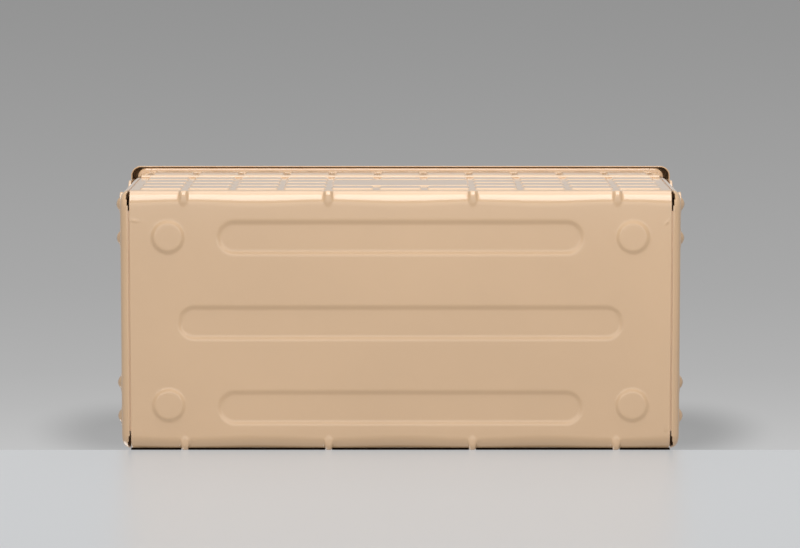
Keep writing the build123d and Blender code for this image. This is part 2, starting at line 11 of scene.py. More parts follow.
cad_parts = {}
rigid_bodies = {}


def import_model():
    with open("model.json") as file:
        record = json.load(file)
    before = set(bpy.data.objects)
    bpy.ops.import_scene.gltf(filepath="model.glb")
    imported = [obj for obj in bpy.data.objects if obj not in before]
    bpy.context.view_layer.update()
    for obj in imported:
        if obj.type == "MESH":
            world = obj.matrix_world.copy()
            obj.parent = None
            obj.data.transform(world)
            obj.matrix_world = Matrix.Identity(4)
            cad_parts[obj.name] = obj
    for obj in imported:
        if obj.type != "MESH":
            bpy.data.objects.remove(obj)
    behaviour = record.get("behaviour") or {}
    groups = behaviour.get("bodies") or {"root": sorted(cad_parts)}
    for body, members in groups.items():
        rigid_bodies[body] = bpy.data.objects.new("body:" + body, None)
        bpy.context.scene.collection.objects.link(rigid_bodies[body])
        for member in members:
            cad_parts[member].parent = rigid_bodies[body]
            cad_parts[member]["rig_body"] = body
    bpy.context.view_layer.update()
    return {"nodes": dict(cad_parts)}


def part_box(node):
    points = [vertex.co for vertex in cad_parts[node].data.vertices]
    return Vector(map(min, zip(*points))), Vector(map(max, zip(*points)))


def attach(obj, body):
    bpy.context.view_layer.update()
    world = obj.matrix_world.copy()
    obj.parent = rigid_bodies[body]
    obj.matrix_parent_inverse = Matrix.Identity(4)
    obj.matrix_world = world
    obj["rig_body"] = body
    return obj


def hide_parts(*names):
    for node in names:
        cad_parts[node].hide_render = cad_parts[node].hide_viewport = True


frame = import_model()

bl_info = {
    "name": "Cantilever toolbox",
    "version": (1, 0, 0),
    "blender": (4, 5, 0),
    "location": "View3D > Sidebar > Toolbox",
    "description": "Builds the sheet metal, fittings, enamel and stage of a cantilever toolbox",
    "category": "Object",
}

# Millimetres to the frame's metres
MM = 0.001

# The two ends and sides, and where the sheets of the frame lie
ENDS = (("right", 1), ("left", -1))
SIDES = (("front", -1), ("rear", 1))
SHELL_LOW, SHELL_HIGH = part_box("body_shell")
CAP_LOW, CAP_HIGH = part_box("end_cap_right")
TRAY_LOW, TRAY_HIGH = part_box("front_tray_shell")
TRAY_END_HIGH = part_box("front_tray_end_right")[1]
LID_LOW, LID_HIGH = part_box("front_lid")


def smooth_step(amount):
    """0 below 0, 1 above 1, and an even S between them."""
    amount = np.clip(amount, 0.0, 1.0)
    return amount * amount * (3 - 2 * amount)


def grid_lines(low, high, coarse, zones):
    """Coordinates from low to high: a coarse spacing, and finer lines in zones of (centre, half width, step)."""
    lines = list(np.linspace(low, high, max(2, round((high - low) / coarse) + 1)))
    for centre, half, step in zones:
        near, far = max(low, centre - half), min(high, centre + half)
        if far <= near:
            continue
        lines = [v for v in lines if not near < v < far or v in (low, high)]
        lines += list(np.linspace(near, far, max(2, round((far - near) / step) + 1)))
    lines = np.unique(np.round(lines, 7))
    keep = np.append(np.diff(lines) > 0.00004, True)
    keep[0] = True
    return lines[keep]


def inside_rounded(x, y, half_x, half_y, corner):
    """How far a point lies inside a rounded rectangle about the origin, negative outside."""
    out_x, out_y = np.abs(x) - (half_x - corner), np.abs(y) - (half_y - corner)
    beyond = np.hypot(np.maximum(out_x, 0), np.maximum(out_y, 0))
    return corner - beyond - np.minimum(np.maximum(out_x, out_y), 0)


def round_over(distance, radius):
    """How far a rounded edge falls back at a distance from the border."""
    share = np.clip(1 - distance / radius, 0, 1)
    return radius * (1 - np.sqrt(1 - share * share))


def edge_lines(radius):
    """Distances from a border that show a rounded edge."""
    return [radius * share for share in (0.0, 0.06, 0.25, 0.55, 1.0)]


def sheet_piece(name, outer, inner, kept=None, loop=False, seam_last=False):
    """A closed mesh between two grids of points, with a wall along every border of the cells that are kept."""
    rows, columns = outer.shape[:2]
    cell_columns = columns if loop else columns - 1
    cells = np.ones((rows - 1, cell_columns), bool) if kept is None else kept
    index = np.arange(rows * columns).reshape(rows, columns)
    under = rows * columns
    i, j = np.nonzero(cells)
    beside = (j + 1) % columns
    corners = np.stack([index[i, j], index[i + 1, j], index[i + 1, beside], index[i, beside]], 1)
    faces = [corners, corners[:, ::-1] + under]
    around = np.pad(cells, 1)
    if loop:
        around[1:-1, 0], around[1:-1, -1] = cells[:, -1], cells[:, 0]
    if seam_last:
        around[-1, :] = True
    neighbours = ((0, 1, 1, 0), (1, 2, 2, 1), (2, 3, 1, 2), (3, 0, 0, 1))
    for first, second, row, column in neighbours:
        bare = ~around[i + row, j + column]
        a, b = corners[bare, first], corners[bare, second]
        faces.append(np.stack([b, a, a + under, b + under], 1))
    points = np.concatenate([outer.reshape(-1, 3), inner.reshape(-1, 3)])
    mesh = bpy.data.meshes.new(name)
    mesh.from_pydata(points.tolist(), [], np.concatenate(faces).tolist())
    return finished(name, mesh)


def finished(name, mesh, merge=0.000004, sharp=math.radians(40)):
    """Joins a mesh's doubled points, turns its faces outwards, smooths it and links it as an object."""
    work = bmesh.new()
    work.from_mesh(mesh)
    bmesh.ops.remove_doubles(work, verts=work.verts, dist=merge)
    bmesh.ops.dissolve_degenerate(work, edges=work.edges, dist=merge / 4)
    loose = [v for v in work.verts if not v.link_faces]
    bmesh.ops.delete(work, geom=loose, context="VERTS")
    bmesh.ops.recalc_face_normals(work, faces=work.faces)
    work.to_mesh(mesh)
    work.free()
    mesh.polygons.foreach_set("use_smooth", [True] * len(mesh.polygons))
    mesh.set_sharp_from_angle(angle=sharp)
    mesh.update()
    piece = bpy.data.objects.new(name, mesh)
    bpy.context.scene.collection.objects.link(piece)
    return piece


def dress(piece, body, material, slot, *nodes):
    """Gives a piece its enamel and sets it on the body whose nodes it stands for."""
    piece.data.materials.clear()
    piece.data.materials.append(material)
    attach(piece, body)
    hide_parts(*nodes)
    return piece


# Pressed troughs: the lower box and the trays

BEND_STEPS = 26


def pad_relief(x, z, pads, sizes):
    """Height of the raised pads over the sheet, with rounded corners and sloping edges."""
    height = np.zeros(np.broadcast(x, z).shape)
    for centre_x, centre_z, width, tall in pads:
        depth = inside_rounded(x - centre_x, z - centre_z, width / 2, tall / 2, sizes.pad_corner)
        height = np.maximum(height, sizes.pad_rise * smooth_step(depth / sizes.pad_edge))
    return height


def trough_half(u, outer_y, bottom, reach, radius):
    """Points and normals round one bottom bend, at shares u of the way from the wall to the floor."""
    straight = reach - radius
    length = 2 * straight + radius * math.pi / 2
    along = u[None, :] * length[:, None]
    straight, radius = straight[:, None], radius[:, None]
    turn = np.clip((along - straight) / radius, 0, math.pi / 2)
    after = np.maximum(along - straight - radius * math.pi / 2, 0)
    before = np.minimum(along, straight)
    y = outer_y + radius * (1 - np.cos(turn)) + after
    z = bottom + reach - before - radius * np.sin(turn)
    return y, z, -np.cos(turn), -np.sin(turn)


def trough_piece(name, lines, wall_z, floor_y, span, bottom, reach, radius, relief, thickness):
    """A sheet bent to a trough along X, with relief(part, x, v) and thickness(part, x, v) for each of its parts."""
    outer_y, inner_y = span
    steps = np.linspace(0, 1, BEND_STEPS + 2)[1:-1]
    x = lines[:, None]
    radius = radius(lines)
    flat = np.ones_like(x)
    parts = []
    wall = wall_z[None, :] * flat
    bend = trough_half(steps, 0.0, bottom, reach, radius)
    round_corner = bend[0] - (bend[1] - bottom)
    floor = floor_y[None, :] * flat
    parts.append(("outer", outer_y + 0 * wall, wall, -1 + 0 * wall, 0 * wall, wall))
    parts.append(("bend", outer_y + bend[0], bend[1], bend[2], bend[3], round_corner))
    parts.append(("floor", floor, bottom + 0 * floor, 0 * floor, -1 + 0 * floor, floor))
    back = [part[:, ::-1] for part in bend]
    parts.append(("bend", inner_y - back[0], back[1], -back[2], back[3], round_corner[:, ::-1]))
    parts.append(("inner", inner_y + 0 * wall, wall[:, ::-1], 1 + 0 * wall, 0 * wall, wall[:, ::-1]))
    outer, inner = [], []
    for part, y, z, normal_y, normal_z, across in parts:
        lift = relief(part, x, across)
        sheet = thickness(part, x, across)
        outer.append(np.stack([x + 0 * y, y + normal_y * lift, z + normal_z * lift], -1))
        under = lift - sheet
        inner.append(np.stack([x + 0 * y, y + normal_y * under, z + normal_z * under], -1))
    return sheet_piece(name, np.concatenate(outer, 1), np.concatenate(inner, 1))


class ToolboxPressings(bpy.types.PropertyGroup):
    """Sizes of the folds and pressings in the sheet."""

    sheet: bpy.props.FloatProperty(name="Sheet", description="Thickness of the steel", default=0.0008, unit="LENGTH")
    pad_rise: bpy.props.FloatProperty(
        name="Pad rise", description="How far the pads stand out", default=0.0008, unit="LENGTH"
    )
    pad_edge: bpy.props.FloatProperty(
        name="Pad edge", description="Width of the slope round a pad", default=0.0015, unit="LENGTH"
    )
    pad_corner: bpy.props.FloatProperty(
        name="Pad corner", description="Radius of a pad's corners", default=0.0028, unit="LENGTH"
    )
    pad_gap: bpy.props.FloatProperty(
        name="Pad gap", description="Width of the valley between two pads", default=0.0026, unit="LENGTH"
    )
    plaque_dish: bpy.props.FloatProperty(
        name="Plaque dish", description="How far the bare plaque is drawn in", default=0.00035, unit="LENGTH"
    )
    foot_height: bpy.props.FloatProperty(
        name="Foot height", description="How far the feet stand down", default=0.0010, unit="LENGTH"
    )
    bead_depth: bpy.props.FloatProperty(
        name="Bead depth", description="How deep the stiffening beads are pressed", default=0.00085, unit="LENGTH"
    )
    bead_slope: bpy.props.FloatProperty(
        name="Bead slope", description="Width of a bead's sloping side", default=0.0034, unit="LENGTH"
    )
    gusset_width: bpy.props.FloatProperty(
        name="Gusset width", description="Half the width of a gusset at its foot", default=0.0034, unit="LENGTH"
    )
    body_rim: bpy.props.FloatProperty(
        name="Body rim", description="How far the lower box's rolled rim stands out", default=0.0015, unit="LENGTH"
    )
    tray_rim: bpy.props.FloatProperty(
        name="Tray rim", description="How far a tray's rolled rim stands out on its outer side", default=0.0018,
        unit="LENGTH",
    )
    bend_slack: bpy.props.FloatProperty(
        name="Bend slack", description="How much softer the bend is between gussets", default=0.0015, unit="LENGTH"
    )
    fold_edge: bpy.props.FloatProperty(
        name="Cut edge", description="Radius of the sheet's cut edges", default=0.0002, unit="LENGTH"
    )


class ToolboxEnamel(bpy.types.PropertyGroup):
    """Colour and gloss of the enamel."""

    colour: bpy.props.FloatVectorProperty(
        name="Beige", description="Colour of the enamel", default=(0.68, 0.443, 0.25), subtype="COLOR", size=3
    )
    roughness: bpy.props.FloatProperty(
        name="Roughness", description="Roughness of the enamel", default=0.34, subtype="FACTOR"
    )
    coat: bpy.props.FloatProperty(
        name="Gloss coat", description="Strength of the glossy top layer", default=0.9, subtype="FACTOR"
    )
    peel_size: bpy.props.FloatProperty(
        name="Orange peel", description="Width of the ripples in the enamel", default=0.0016, unit="LENGTH"
    )
    peel_depth: bpy.props.FloatProperty(
        name="Peel depth", description="Depth of the ripples in the enamel", default=0.000005, unit="LENGTH"
    )


class ToolboxStage(bpy.types.PropertyGroup):
    """Lights, floor and camera."""

    overhead: bpy.props.FloatProperty(
        name="Overhead glow", description="Share of the ambient light that comes from straight above", default=1.0
    )
    lens: bpy.props.FloatProperty(name="Lens", description="Focal length in millimetres", default=155.1)
    key_power: bpy.props.FloatProperty(
        name="Key light", description="Power of the big light over the front side", default=12.6, unit="POWER"
    )
    fill_power: bpy.props.FloatProperty(
        name="Fill light", description="Power of the light that faces the bottom", default=22.0, unit="POWER"
    )
    top_power: bpy.props.FloatProperty(
        name="Top light", description="Power of the light over the lids", default=11.0, unit="POWER"
    )
    rear_power: bpy.props.FloatProperty(
        name="Rear light", description="Power of the light behind the box", default=16.0, unit="POWER"
    )
    floor_colour: bpy.props.FloatVectorProperty(
        name="Floor", description="Colour of the floor", default=(0.54, 0.545, 0.545), subtype="COLOR", size=3
    )
    board_colour: bpy.props.FloatVectorProperty(
        name="Board", description="Colour of the board below the lying box", default=(0.166, 0.17, 0.174),
        subtype="COLOR", size=3,
    )
    board_glow: bpy.props.FloatProperty(
        name="Board glow", description="How strongly the board is lit from behind", default=1.98
    )
    ambient: bpy.props.FloatVectorProperty(
        name="Ambient", description="Colour of the light from all round", default=(0.53, 0.53, 0.53),
        subtype="COLOR", size=3,
    )


# Numbers of pads, and where the columns and rows of pads, feet, beads and gussets lie
PAD_COLUMNS, PAD_ROWS = 11, 4
PLAQUE_COLUMNS, PLAQUE_ROWS = 3, (1, 2)
PAD_END_MARGIN, PAD_TOP_MARGIN, PAD_LOWEST = 3.6 * MM, 2.5 * MM, 14 * MM
SHELL_HALF_WIDTH, SHELL_TOP = SHELL_HIGH.x, SHELL_HIGH.z
COLUMN_PITCH = 2 * (SHELL_HALF_WIDTH - PAD_END_MARGIN) / PAD_COLUMNS
ROW_PITCH = (SHELL_TOP - PAD_TOP_MARGIN - PAD_LOWEST) / PAD_ROWS
FOOT_X, FOOT_Y, FOOT_RADIUS, FOOT_SLOPE = 140 * MM, 51.1 * MM, 10.7 * MM, 2.9 * MM
BEAD_Y, BEAD_SHIFT, BEAD_HALF_WIDTH, LONG_BEAD, SHORT_BEAD = 51.7 * MM, 1 * MM, 11 * MM, 135.2 * MM, 111 * MM
GUSSETS = (-4.5, -1.5, 1.5, 4.5)
NUB_SPAN, NUB_POINT, NUB_WIDTH, NUB_RISE = (-7 * MM, 9.6 * MM), 3.4 * MM, 3.0 * MM, 0.32 * MM
BODY_BEND, TRAY_BEND, GUSSET_BEND, BEND_REACH = 8 * MM, 7 * MM, 3.5 * MM, 12 * MM
HEM_HEIGHT, RIM_HEIGHT, RIM_PROUD = 6 * MM, 3 * MM, 0.7 * MM
TRAY_PAD_LOW, TRAY_PAD_HIGH = 123 * MM, 154 * MM
WELD_NIBS = ((-160 * MM, -61 * MM, 0.1), (160.3 * MM, -60 * MM, -0.9), (161.2 * MM, 66 * MM, -0.6))
NIB_LENGTH, NIB_WIDTH, NIB_HEIGHT = 2.2 * MM, 0.5 * MM, 0.34 * MM

# Where the grids need fine lines: (half width, step) at each valley or gusset, (centre, half width, step) elsewhere
VALLEY_LINES, GUSSET_LINES = (3.1 * MM, 0.42 * MM), (3.3 * MM, 0.33 * MM)
HEM_END_LINES, HEM_LINES = (0.06 * MM, 0.06 * MM), (0.04 * MM, 0.04 * MM)
FOOT_LENGTHS = (125 * MM, 28 * MM, 0.8 * MM)
FOOT_DEPTHS, BEAD_DEPTHS = (51 * MM, 13 * MM, 0.8 * MM), (9 * MM, 4.5 * MM, 0.75 * MM)


def body_pads(sizes):
    """The pads of a long side of the lower box, and the plaque in their middle."""
    middle = (PAD_COLUMNS - 1) / 2
    pads = []
    for column in range(PAD_COLUMNS):
        for row in range(PAD_ROWS):
            if abs(column - middle) < PLAQUE_COLUMNS / 2 and row in PLAQUE_ROWS:
                continue
            z = PAD_LOWEST + (row + 0.5) * ROW_PITCH
            pads.append(((column - middle) * COLUMN_PITCH, z, COLUMN_PITCH - sizes.pad_gap, ROW_PITCH - sizes.pad_gap))
    return pads, plaque_place(sizes)


def plaque_place(sizes):
    """Centre and size of the bare plaque."""
    z = PAD_LOWEST + (sum(PLAQUE_ROWS) / len(PLAQUE_ROWS) + 0.5) * ROW_PITCH
    return 0.0, z, PLAQUE_COLUMNS * COLUMN_PITCH - sizes.pad_gap, len(PLAQUE_ROWS) * ROW_PITCH - sizes.pad_gap


def column_zones():
    """Fine zones at the valleys beside the columns of pads."""
    return [((column - PAD_COLUMNS / 2) * COLUMN_PITCH, *VALLEY_LINES) for column in range(PAD_COLUMNS + 1)]


def both_sides(centre, half, step):
    """The same fine zone on both sides of the middle."""
    return [(side * centre, half, step) for side in (-1, 1)]


def length_lines(half_width, zones, sizes):
    """Lines across a trough from end to end, with those of its two rounded cut edges."""
    lines = grid_lines(-half_width, half_width, 6 * MM, zones)
    ends = np.array([half_width - d for d in edge_lines(sizes.fold_edge)])
    return np.unique(np.concatenate([lines, ends, -ends]))


def wall_lines(low, top, zones, rim):
    """Heights of a trough's wall lines from its rolled rim down to the bend."""
    heights = grid_lines(low, top, 5 * MM, zones)
    return np.unique(np.concatenate([heights[heights < rim.min()], rim]))[::-1]


def rim_roll(z, top):
    """Shape of the rolled rim, 1 where it stands out most."""
    middle = np.clip(np.abs((z - (top - RIM_HEIGHT / 2)) / (RIM_HEIGHT / 2)), 0, 1)
    return np.sqrt(1 - middle**2)


def rim_lines(top, sheet):
    """Heights of the lines that show the rolled rim and its folded edge."""
    roll = top - RIM_HEIGHT / 2 - RIM_HEIGHT / 2 * np.cos(np.linspace(0, math.pi, 14))
    return np.unique(np.concatenate([roll, [top - d for d in edge_lines(sheet / 2)]]))


def bottom_relief(x, y, sizes):
    """Feet stand out of the bottom, and beads and the rest of the pressing go in."""
    lift = np.zeros(np.broadcast(x, y).shape)
    for centre_x in (-FOOT_X, FOOT_X):
        for centre_y in (-FOOT_Y, FOOT_Y):
            depth = FOOT_RADIUS - np.hypot(x - centre_x, y - centre_y)
            lift = lift + sizes.foot_height * smooth_step(depth / FOOT_SLOPE)
    for centre_y, half_length in ((-BEAD_Y, SHORT_BEAD), (0.0, LONG_BEAD), (BEAD_Y, SHORT_BEAD)):
        depth = inside_rounded(x, y - centre_y - BEAD_SHIFT, half_length, BEAD_HALF_WIDTH, BEAD_HALF_WIDTH)
        lift = lift - sizes.bead_depth * smooth_step(depth / sizes.bead_slope)
    for centre_x, centre_y, slant in WELD_NIBS:
        along = (x - centre_x) + slant * (y - centre_y)
        across = (y - centre_y) - slant * (x - centre_x)
        lift = lift + NIB_HEIGHT * np.exp(-((along / NIB_LENGTH) ** 2) - (across / NIB_WIDTH) ** 2)
    return lift


def gusset_nub(x, t):
    """A pointed nub across the bend; t runs from the wall, below 0, over the corner to the bottom, above 0."""
    lift = np.zeros(np.broadcast(x, t).shape)
    to_end = np.minimum(t - NUB_SPAN[0], NUB_SPAN[1] - t)
    width = NUB_WIDTH * np.sqrt(np.clip(to_end / NUB_POINT, 0, 1))
    for column in GUSSETS:
        across = 1 - np.abs(x - column * COLUMN_PITCH) / np.maximum(width, 0.01 * MM)
        lift = np.maximum(lift, NUB_RISE * smooth_step(across * 1.3) * smooth_step(to_end / NUB_POINT))
    return lift


def gusset_bend(x, sizes):
    """Radius of the bottom bend along the box: softest between the gussets, sharp on them."""
    gap = (GUSSETS[1] - GUSSETS[0]) * COLUMN_PITCH
    radius = BODY_BEND + sizes.bend_slack * (1 - np.cos(2 * math.pi * (x / gap - 0.5))) / 2
    for column in GUSSETS:
        near = smooth_step(1.5 * (1 - np.abs(x - column * COLUMN_PITCH) / sizes.gusset_width))
        radius = radius + (GUSSET_BEND - radius) * near
    return radius


def make_lower_sheet(sizes, material):
    """The bottom and long sides of the lower box."""
    half_depth = SHELL_HIGH.y - sizes.pad_rise
    bottom = SHELL_LOW.z + sizes.foot_height
    flange_x = CAP_LOW.x
    pads, plaque = body_pads(sizes)
    zones = column_zones() + both_sides(*FOOT_LENGTHS) + both_sides(flange_x, *HEM_END_LINES)
    zones += [(column * COLUMN_PITCH, *GUSSET_LINES) for column in GUSSETS]
    lines = length_lines(SHELL_HALF_WIDTH, zones, sizes)
    hem_z = SHELL_TOP - HEM_HEIGHT
    row_zones = [(PAD_LOWEST + row * ROW_PITCH, *VALLEY_LINES) for row in range(PAD_ROWS + 1)]
    row_zones.append((hem_z, *HEM_LINES))
    wall_z = wall_lines(bottom + BEND_REACH, SHELL_TOP, row_zones, rim_lines(SHELL_TOP, 2 * sizes.sheet))
    floor_zones = both_sides(*FOOT_DEPTHS) + both_sides(*BEAD_DEPTHS)
    floor_y = grid_lines(-half_depth + BEND_REACH, half_depth - BEND_REACH, 4 * MM, floor_zones)
    plaque_x, plaque_z, plaque_width, plaque_tall = plaque

    def relief(part, x, v):
        cut = round_over(SHELL_HALF_WIDTH - np.abs(x), sizes.fold_edge)
        if part == "floor":
            return bottom_relief(x, v, sizes) + gusset_nub(x, half_depth - np.abs(v)) - cut
        if part == "bend":
            return gusset_nub(x, v) - cut
        lift = pad_relief(x, v, [*pads, plaque], sizes) + gusset_nub(x, bottom - v)
        across = np.clip(1 - ((x - plaque_x) / (plaque_width / 2)) ** 2, 0, 1)
        up = np.clip(1 - ((v - plaque_z) / (plaque_tall / 2)) ** 2, 0, 1)
        lift = lift - sizes.plaque_dish * across * up + sizes.body_rim * rim_roll(v, SHELL_TOP)
        return lift - cut - round_over(SHELL_TOP - v, sizes.sheet)

    def thickness(part, x, v):
        cut = round_over(SHELL_HALF_WIDTH - np.abs(x), sizes.fold_edge)
        sheet = sizes.sheet + 0 * v - 2 * cut
        if part in ("floor", "bend"):
            return sheet
        hem = (v > hem_z) & (np.abs(x) < flange_x)
        sheet = sheet + sizes.sheet * hem
        sheet = sheet - 2 * round_over(SHELL_TOP - v, sizes.sheet) * sheet / (2 * sizes.sheet)
        return np.maximum(sheet + sizes.body_rim * rim_roll(v, SHELL_TOP), 0)

    piece = trough_piece(
        "lower_box_sheet",
        lines,
        wall_z,
        floor_y,
        (-half_depth, half_depth),
        bottom,
        BEND_REACH,
        lambda x: gusset_bend(x, sizes),
        relief,
        thickness,
    )
    return dress(piece, "base", material, "beige_paint", "body_shell")


def make_tray_sheet(name, sign, sizes, material):
    """Bottom and long sides of one tray, with a row of pads outside and a rolled rim."""
    low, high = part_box(f"{name}_tray_shell")
    half_width, bottom, top = high.x, low.z, high.z
    outer_y, inner_y = TRAY_LOW.y + max(RIM_PROUD, sizes.pad_rise), TRAY_HIGH.y - RIM_PROUD
    pad_z, pad_tall = (TRAY_PAD_LOW + TRAY_PAD_HIGH) / 2, TRAY_PAD_HIGH - TRAY_PAD_LOW - sizes.pad_gap
    offsets = [(column - (PAD_COLUMNS - 1) / 2) * COLUMN_PITCH for column in range(PAD_COLUMNS)]
    pads = [(x, pad_z, COLUMN_PITCH - sizes.pad_gap, pad_tall) for x in offsets]
    lines = length_lines(half_width, column_zones(), sizes)
    edges = [(z, *VALLEY_LINES) for z in (TRAY_PAD_LOW, TRAY_PAD_HIGH)]
    wall_z = wall_lines(bottom + BEND_REACH, top, edges, rim_lines(top, sizes.sheet))
    floor_y = grid_lines(outer_y + BEND_REACH, inner_y - BEND_REACH, 6 * MM, [])

    def relief(part, x, v):
        cut = round_over(half_width - np.abs(x), sizes.fold_edge)
        if part in ("floor", "bend"):
            return 0 * v - cut
        proud = sizes.tray_rim if part == "outer" else RIM_PROUD
        roll = proud * rim_roll(v, top) - round_over(top - v, sizes.sheet / 2) - cut
        return roll + (pad_relief(x, v, pads, sizes) if part == "outer" else 0)

    def thickness(part, x, v):
        cut = round_over(half_width - np.abs(x), sizes.fold_edge)
        sheet = sizes.sheet + 0 * v - 2 * cut
        if part in ("floor", "bend"):
            return sheet
        proud = sizes.tray_rim if part == "outer" else RIM_PROUD
        return np.maximum(sheet + proud * rim_roll(v, top) - 2 * round_over(top - v, sizes.sheet / 2), 0)

    piece = trough_piece(
        f"{name}_tray_sheet",
        lines,
        wall_z,
        floor_y,
        (outer_y, inner_y),
        bottom,
        BEND_REACH,
        lambda x: TRAY_BEND + 0 * x,
        relief,
        thickness,
    )
    if sign > 0:
        mirror_in_depth(piece)
    return dress(piece, f"{name}_tray", material, "beige_paint", f"{name}_tray_shell")


def mirror_in_depth(piece):
    """Turns a front piece into its rear twin."""
    piece.data.transform(Matrix.Diagonal((1, -1, 1, 1)))
    piece.data.flip_normals()


def mirror_in_length(piece):
    """Turns a right-hand piece into its left-hand twin."""
    piece.data.transform(Matrix.Diagonal((-1, 1, 1, 1)))
    piece.data.flip_normals()


# End pans of the lower box and the trays

# The bend, the flange behind it and its grid lines, and how far from the face the rolled rim shows
PAN_BEND, FLANGE, FLANGE_LINES, RIM_FROM = 5 * MM, 20 * MM, (12 * MM, 8.4 * MM, 7.6 * MM, 6 * MM), 8.6 * MM
BODY_PAN_CORNER, TRAY_PAN_CORNER, HEM_MARGIN = 11 * MM, 9 * MM, 0.02 * MM
# The seam where a flush pan leaves the trough
SEAM_STEP, SEAM_CORNER, SEAM_LINE = 0.03 * MM, 9 * MM, 0.4 * MM


def u_path(inset, outer_y, inner_y, bottom, corner, heights, shares, turns):
    """Points of a U-shaped outline, moved in by inset: down one side, along the bottom and up the other."""
    level = bottom + (inner_y - outer_y) / 2 + MM
    reach, radius = np.maximum(corner, inset), np.maximum(corner - inset, 0)
    down = [(outer_y + inset + 0 * z, z + 0 * inset) for z in heights]
    below = bottom + reach
    down += [(outer_y + inset, level + (below - level) * share) for share in shares[1:-1]]
    arc = [(outer_y + reach - radius * math.cos(a), bottom + reach - radius * math.sin(a)) for a in turns]
    left = down + arc
    middle = (outer_y + inner_y) / 2
    right = [(2 * middle - y, z) for y, z in left[::-1]]
    start, stop = outer_y + reach, inner_y - reach
    along = [(start + (stop - start) * share, bottom + inset) for share in shares[1:-1]]
    path = left + along + right
    return path, (len(down), len(left), len(left) + len(along), len(left) + len(along) + len(arc))


def coordinates(path, axis):
    """One coordinate of every point of a path, where each point was worked out for all the points' insets."""
    count = len(path)
    return np.array([np.broadcast_to(point[axis], (count,))[n] for n, point in enumerate(path)], float)


def pan_piece(name, outer_y, inner_y, bottom, top, face, flange_corner, sizes, rim, slit):
    """A right-hand end pan: flanges inside the trough, a round bend and a flat face, open above.

    With slit, its bend is flush with the trough's sheet and is cut through at the bottom's corners.
    """
    half = (inner_y - outer_y) / 2
    turns = np.linspace(0, math.pi / 2, 13)
    level = bottom + half + MM
    hem_z = top - HEM_HEIGHT
    border = rim_lines(top, sizes.sheet) if rim else np.array([top - d for d in edge_lines(sizes.sheet)])
    plain = [z for z in np.linspace(level, top, 8) if z < border.min() - 0.4 * MM]
    hem = [] if rim else [hem_z - HEM_MARGIN, hem_z + HEM_MARGIN]
    heights = np.unique(np.concatenate([plain, hem, border]))[::-1]
    shares = np.linspace(0, 1, 9)
    flange = [face - FLANGE + d for d in edge_lines(sizes.fold_edge)] + [face - d for d in FLANGE_LINES]
    flush = 0
    if slit:
        flange += [face - PAN_BEND - d for d in (SEAM_LINE, SEAM_STEP)]
        flush = sizes.sheet
    profile = [(x, 0.0, 0.0, 1.0) for x in flange]
    profile += [
        (face - PAN_BEND * (1 - math.sin(a)), PAN_BEND - (PAN_BEND + flush) * math.cos(a), math.sin(a), math.cos(a))
        for a in turns
    ]
    face_rows = [PAN_BEND + 1 * MM, PAN_BEND + 6 * MM, half * 0.45, half * 0.75, half]
    profile += [(face, k, 1.0, 0.0) for k in face_rows]
    grids = []
    for under in (False, True):
        rows = []
        for x, k, across, outward in profile:
            corner = SEAM_CORNER if slit and x > face - PAN_BEND - SEAM_STEP / 2 else flange_corner
            path, marks = u_path(np.array(k), outer_y, inner_y, bottom, corner, heights, shares, turns)
            z = coordinates(path, 1)
            lift = np.zeros_like(z)
            sheet = np.full_like(z, sizes.sheet)
            if rim:
                exposed = face + rim - x < RIM_FROM
                outer_side = coordinates(path, 0) < (outer_y + inner_y) / 2
                proud = rim + (np.where(outer_side, sizes.tray_rim - rim, 0) + sizes.sheet) * outward
                lift += exposed * rim_roll(z, top) * proud
                sheet += exposed * rim_roll(z, top) * proud
                cut = round_over(top - z, sizes.sheet / 2)
            else:
                sheet += sizes.sheet * ((z > hem_z) & (across > 0.9))
                cut = round_over(top - z, sizes.sheet) * sheet / (2 * sizes.sheet)
            lift -= cut
            sheet -= 2 * cut
            edge = float(round_over(np.array(x - (face - FLANGE)), sizes.fold_edge))
            lift -= edge
            sheet = np.maximum(sheet - 2 * edge, 0)
            move = lift - sheet if under else lift
            moved = k - outward * move
            path, marks = u_path(np.minimum(moved, half), outer_y, inner_y, bottom, corner, heights, shares, turns)
            rows.append(np.stack([x + across * move, coordinates(path, 0), coordinates(path, 1)], -1))
        grids.append(np.stack(rows))
    kept = np.ones((len(profile) - 1, len(z) - 1), bool)
    if slit:
        for start, stop in ((marks[0], marks[1] - 1), (marks[2], marks[3] - 1)):
            for rows, inset in ((0, 0), (1, 1), (2, 4)):
                kept[: len(flange) + rows, start + inset : stop - inset] = False
    return sheet_piece(name, grids[0], grids[1], kept, seam_last=True)


def make_end_pan(side, sign, sizes, material):
    """One end of the lower box."""
    half = SHELL_HIGH.y - sizes.pad_rise - sizes.sheet
    bottom = SHELL_LOW.z + sizes.foot_height + sizes.sheet
    piece = pan_piece(
        f"end_pan_{side}", -half, half, bottom, CAP_HIGH.z, CAP_HIGH.x, BODY_PAN_CORNER, sizes, 0, True
    )
    if sign < 0:
        mirror_in_length(piece)
    return dress(piece, "base", material, "beige_paint", f"end_cap_{side}")


def make_tray_pan(name, depth_sign, side, sign, sizes, material):
    """One end of a tray."""
    outer_y = TRAY_LOW.y + max(RIM_PROUD, sizes.pad_rise) + sizes.sheet
    inner_y = TRAY_HIGH.y - RIM_PROUD - sizes.sheet
    bottom, top = TRAY_LOW.z + sizes.sheet, TRAY_END_HIGH.z
    face = TRAY_END_HIGH.x - RIM_PROUD
    piece = pan_piece(
        f"{name}_tray_pan_{side}", outer_y, inner_y, bottom, top, face, TRAY_PAN_CORNER, sizes, RIM_PROUD, False
    )
    if sign < 0:
        mirror_in_length(piece)
    if depth_sign > 0:
        mirror_in_depth(piece)
    return dress(piece, f"{name}_tray", material, "beige_paint", f"{name}_tray_end_{side}")


# Lids

